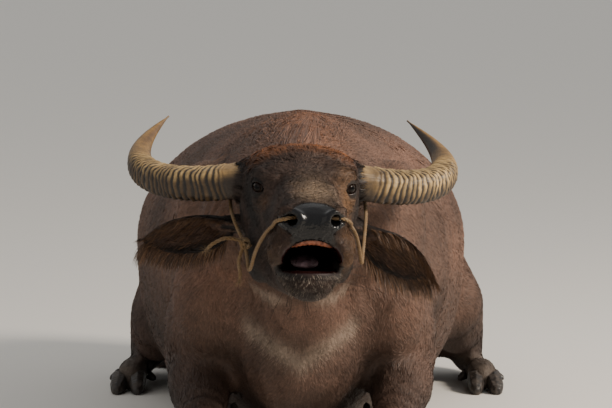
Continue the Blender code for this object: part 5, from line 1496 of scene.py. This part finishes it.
def locksOnSkin(name, count, mask, length, width, height, colour=None, way=None, droop=0.0, pinned=True, spread=0.25, cellSize=0.009, spreadColour=0.22):
    """Long hair on the part of the skin where mask, a value for each point, says so."""
    weights = areas * mask[faces].mean(axis=1)
    corners, shares = sampled(count, weights)
    roots, normals = at(bodyPoints, corners, shares), unit(at(bodyNormals, corners, shares))
    ways = at(lie, corners, shares) if way is None else np.broadcast_to(way, roots.shape) if np.ndim(way) == 1 else at(way, corners, shares)
    lifted = ways * normals
    ways = unit(ways - normals * lifted.sum(axis=1)[:, None]) if pinned else unit(ways)
    middles, index = tufts(roots, np.full(count, cellSize))
    turn = (draw.normal(0, spread, index.max() + 1)[index] + draw.normal(0, spread * 0.6, count))[:, None]
    ways = ways * np.cos(turn) + np.cross(normals, ways) * np.sin(turn)
    lengths = draw.uniform(*length, count)
    tints = (at(bodyMarksAndPaintedLight, corners, shares) if colour is None else np.tile(tone(colour), (count, 1)))
    tints = tints * (draw.uniform(1 - spreadColour, 1 + spreadColour, index.max() + 1)[index] * draw.uniform(0.62, 1.5, count))[:, None]
    heights = height * draw.uniform(0.5, 1.4, index.max() + 1)[index]
    pull = (middles - roots) * 0.6
    made = growBlades(name, roots, normals, ways, lengths, width, heights, tints, shares=fine, pull=pull, droop=droop, pinned=pinned)
    for item in made:
        dress(item, longMatter, "long_hair")


x, f, z = np.abs(headSide[:, 0]), headSide[:, 1], headSide[:, 2]
worldShift = bodyPoints - shiftBack * np.array([1, 1, 0])
crownMask = soft(z + 0.16 * x, 0.186, 0.204) * soft(0.125 - f, 0, 0.05) * soft(f, -0.085, -0.060) * soft(0.112 - x, 0, 0.02) * onHeadNow
locksOnSkin("hair_crown", longHair["crown"], crownMask, (0.020, 0.036), 0.0015, 0.0065, spread=0.34)
backMask = soft(worldShift[:, 2], 0.655, 0.705) * soft(0.13 - np.abs(worldShift[:, 0]), 0, 0.08) * (1 - onHeadNow) * soft(worldShift[:, 1], -1.02, -0.95)
locksOnSkin("hair_back", longHair["back"], backMask, (0.022, 0.036), 0.0019, 0.0035, spread=0.16, cellSize=0.014)
hornAt = np.linalg.norm(np.column_stack([(x - 0.108) * 0.8, f - 0.0, z - 0.150]), axis=1)
hornMask = soft(0.066 - hornAt, 0, 0.012) * soft(x, 0.070, 0.090) * onHeadNow * (np.abs(earShares(headSide)[0]) < 0.5)
toAxis = unit(np.column_stack([np.zeros(len(x)), 0.004 - f, 0.154 - z]))
outward = turnFromHead(np.column_stack([np.sign(headSide[:, 0]), np.full(len(x), 0.10), np.full(len(x), 0.05)]) + 0.62 * toAxis)
locksOnSkin("hair_hornRoots", longHair["horns"], hornMask, (0.012, 0.030), 0.0014, 0.0016, way=outward, spread=0.30, pinned=False, droop=0.04)
print("long hair on crown, back and horn roots")


def earHair(side):
    """Fringe along both edges, longer and clotted on the lower one, and sparse hair inside the cup."""
    root, axis, opens, across = earFrame(side)
    flip = np.array([1, -1, 1])
    count = longHair["earEdge"]
    sets = []
    for edge in (-1, 1):
        along = draw.uniform(0.06, 1.0, count)
        over = edge * draw.uniform(0.84, 1.0, count)
        roots = fromHead(earPoint(side, along, over))
        line = fromHead(earPoint(side, np.clip(along + 0.05, 0, 1.05), over)) - roots
        rim = fromHead(earPoint(side, along, over * 1.06)) - roots
        clot = np.sin(along * 95 + edge) * 0.35
        ways = unit(unit(line) * (1.0 + 0.3 * draw.normal(size=(count, 1))) + unit(rim) * (0.65 + clot[:, None] + 0.25 * draw.normal(size=(count, 1))) + 0.12 * draw.normal(size=(count, 3)))
        normals = unit(np.cross(unit(line), unit(rim)))
        lower = rim[:, 2].mean() < 0
        lengths = draw.uniform(0.012, 0.026, count) * (1.35 if lower else 1.0)
        sets.append((roots, normals, ways, lengths, 0.9 if lower else 0.35))
    along = draw.uniform(0.05, 0.90, longHair["earInside"])
    over = draw.uniform(-0.8, 0.8, longHair["earInside"])
    roots = fromHead(earPoint(side, along, over)) + turnFromHead(opens * flip)[None] * 0.0022
    ways = unit(turnFromHead(axis * flip) + turnFromHead(opens * flip) * 0.40 + 0.22 * draw.normal(size=(len(roots), 3)))
    normals = np.tile(turnFromHead(opens * flip), (len(roots), 1))
    sets.append((roots, normals, ways, draw.uniform(0.012, 0.026, len(roots)), 0.3))
    items = []
    for roots, normals, ways, lengths, droop in sets:
        tints = mixed(tone("#3a2b22"), tone("#7a5a40"), draw.random(len(roots)) ** 2)
        items += growBlades("hair", roots, normals, ways, lengths, 0.0013, 0.001, tints, shares=(0, 0.35, 0.7, 1), droop=droop, pinned=False)
    name = "hair_earLeft" if side > 0 else "hair_earRight"
    shape = joined(name, items)
    dress(shape, longMatter, "long_hair")



def lashes(side):
    """Upper lashes are long and point down and out, lower ones are short."""
    items = []
    for upper, count, low, high in ((True, longHair["lashes"], 0.009, 0.0145), (False, longHair["lashes"] // 2, 0.005, 0.008)):
        line = lidLine(side, head["eyeRadius"] + 0.0036, steps=60, inset=-0.0010)
        half = line[4:56] if upper else line[64:116]
        chosen = half[draw.integers(0, len(half), count)] + draw.normal(0, 0.0006, (count, 3))
        middle = np.array(head["eye"]) * np.array([side, 1, 1])
        outwards = unit(chosen - middle)
        ways = unit(outwards + np.array([0.25 * side, 0.20, -0.10 if upper else -0.55]) + 0.10 * draw.normal(size=(count, 3)))
        tints = np.tile(tone("#15100d"), (count, 1))
        items += growBlades("lash", fromHead(chosen), turnFromHead(outwards), turnFromHead(ways), draw.uniform(low, high, count), 0.0006, 0.0005, tints, shares=(0, 0.35, 0.7, 1), droop=0.22 if upper else 0.05, pinned=False)
    dress(joined("lashesLeft" if side > 0 else "lashesRight", items), longMatter, "long_hair")


for side in (1, -1):
    earHair(side)
    lashes(side)
chinMask = soft(f, 0.37, 0.41) * soft(0.000 - z, 0, 0.008) * soft(z, -0.062, -0.050) * onHeadNow * (1 - mouthNow)
down = turnFromHead(np.column_stack([0.25 * np.sign(headSide[:, 0]), np.full(len(x), 0.75), np.full(len(x), -0.55)]))
locksOnSkin("bristles_chin", longHair["bristles"], chinMask, (0.005, 0.010), 0.0007, 0.002, colour="#8b8073", way=down, pinned=False, droop=0.25, spread=0.15)
sideMask = soft(f, 0.37, 0.42) * soft(z, 0.004, 0.02) * soft(0.118 - z, 0, 0.02) * soft(x, 0.050, 0.062) * (1 - padNow) * (1 - mouthNow) * onHeadNow
outAndDown = turnFromHead(np.column_stack([0.8 * np.sign(headSide[:, 0]), np.full(len(x), 0.6), np.full(len(x), -0.35)]))
locksOnSkin("whiskers", longHair["whiskers"], sideMask, (0.010, 0.020), 0.0006, 0.003, colour="#54453a", way=outAndDown, pinned=False, droop=0.35, spread=0.4)
print("ears, lashes and muzzle")


# Switch at the tail's end
switch = dict(strands=2600, length=(0.12, 0.205), width=0.0021, spread=0.30, colours=("#2b1d15", "#6b4427"))


def makeSwitch():
    low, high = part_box("tail_switch")
    tailPoints = worldShift[(worldShift[:, 1] > 0.76) & (worldShift[:, 2] < 0.06) & (worldShift[:, 0] < -0.20)]
    tailPoints = tailPoints + shiftBack * np.array([1, 1, 0])
    end = tailPoints[tailPoints[:, 0] < tailPoints[:, 0].min() + 0.012].mean(axis=0)
    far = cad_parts["tail_switch"]
    corners = pointsOf(far)
    way = unit(np.array([*(corners.mean(axis=0) - end)[:2], 0.0]))
    across = np.array([-way[1], way[0], 0.0])
    count = switch["strands"]
    lock = draw.integers(0, 34, count)
    lockTurn, lockLong, lockBend = draw.normal(0, switch["spread"] * 0.55, 34), draw.uniform(0.75, 1.0, 34), draw.normal(0, 0.12, 34)
    back = draw.uniform(-0.055, 0.035, count)
    around = draw.uniform(0, 2 * math.pi, count)
    ring = 0.0105 * np.sqrt(draw.random(count))
    roots = end + way * back[:, None] + across * (ring * np.cos(around))[:, None] + np.outer(ring * np.sin(around), [0, 0, 1])
    roots[:, 2] = np.maximum(roots[:, 2], 0.002)
    turn = lockTurn[lock] + draw.normal(0, 0.05, count)
    ways = way * np.cos(turn)[:, None] + across * np.sin(turn)[:, None]
    ways[:, 2] += draw.uniform(-0.02, 0.06, count)
    ways = unit(ways)
    lengths = draw.uniform(*switch["length"], count) * lockLong[lock]
    reach = (corners @ way).max() - roots @ way
    lengths = np.minimum(lengths, reach * draw.uniform(0.86, 1.0, count))
    pull = across * (lockBend[lock] * lengths)[:, None]
    up = np.tile([0.0, 0.0, 1.0], (count, 1))
    tints = mixed(tone(switch["colours"][0]), tone(switch["colours"][1]), draw.random(34)[lock] * draw.random(count))
    made = growBlades("switch", roots, up, ways, lengths, switch["width"], 0.0, tints, shares=(0, 0.2, 0.4, 0.6, 0.8, 1), pull=pull, droop=0.10, pinned=False, roll=1.2)
    core = lofted("core", tubeRings(np.array([end - way * 0.04, end + way * 0.02, end + way * 0.09]) + [0, 0, 0.001], np.array([0.0115, 0.0095, 0.003]), 12))
    colourAttribute(core, "tint", np.tile(tone(switch["colours"][0]), (len(core.data.vertices), 1)))
    item = joined("tailSwitch", made + [core])
    points = pointsOf(item)
    points[:, 2] = np.maximum(points[:, 2], 0.0004)
    setPoints(item, points)
    dress(item, longMatter, "long_hair", "tail_switch")


makeSwitch()
print("tail switch")


# Floor and light
stage = dict(floor="#e2dfd9", sky="#e5e4e2", skyStrength=0.72, key=600.0, fill=25.0)


def makeStage():
    mesh = bpy.data.meshes.new("floor")
    reach = 60.0
    mesh.from_pydata([(-reach, -reach, 0), (reach, -reach, 0), (reach, reach, 0), (-reach, reach, 0)], [], [(0, 1, 2, 3)])
    floor = linked("floor", mesh)
    made, tree, shader = newMaterial("pale plaster floor", Roughness=0.85)
    shader.inputs["Base Color"].default_value = rgba(stage["floor"])
    mesh.materials.append(made)
    world = bpy.data.worlds.new("studio")
    world.use_nodes = True
    world.node_tree.nodes["Background"].inputs[0].default_value = rgba(stage["sky"])
    world.node_tree.nodes["Background"].inputs[1].default_value = stage["skyStrength"]
    bpy.context.scene.world = world
    for name, place, aim, size, power in (
        ("key", (4.9, -2.2, 3.9), (0, -0.5, 0.4), 1.6, stage["key"]),
        ("fill", (-4.5, -5.0, 3.0), (0, -0.3, 0.4), 4.0, stage["fill"]),
    ):
        lamp = bpy.data.lights.new(name, "AREA")
        lamp.size = size
        lamp.energy = power
        lamp.color = tuple(tone("#fff2e2"))
        item = bpy.data.objects.new(name, lamp)
        bpy.context.scene.collection.objects.link(item)
        item.location = place
        item.rotation_euler = (Vector(aim) - Vector(place)).to_track_quat("-Z", "Y").to_euler()


makeStage()
print("stage set")
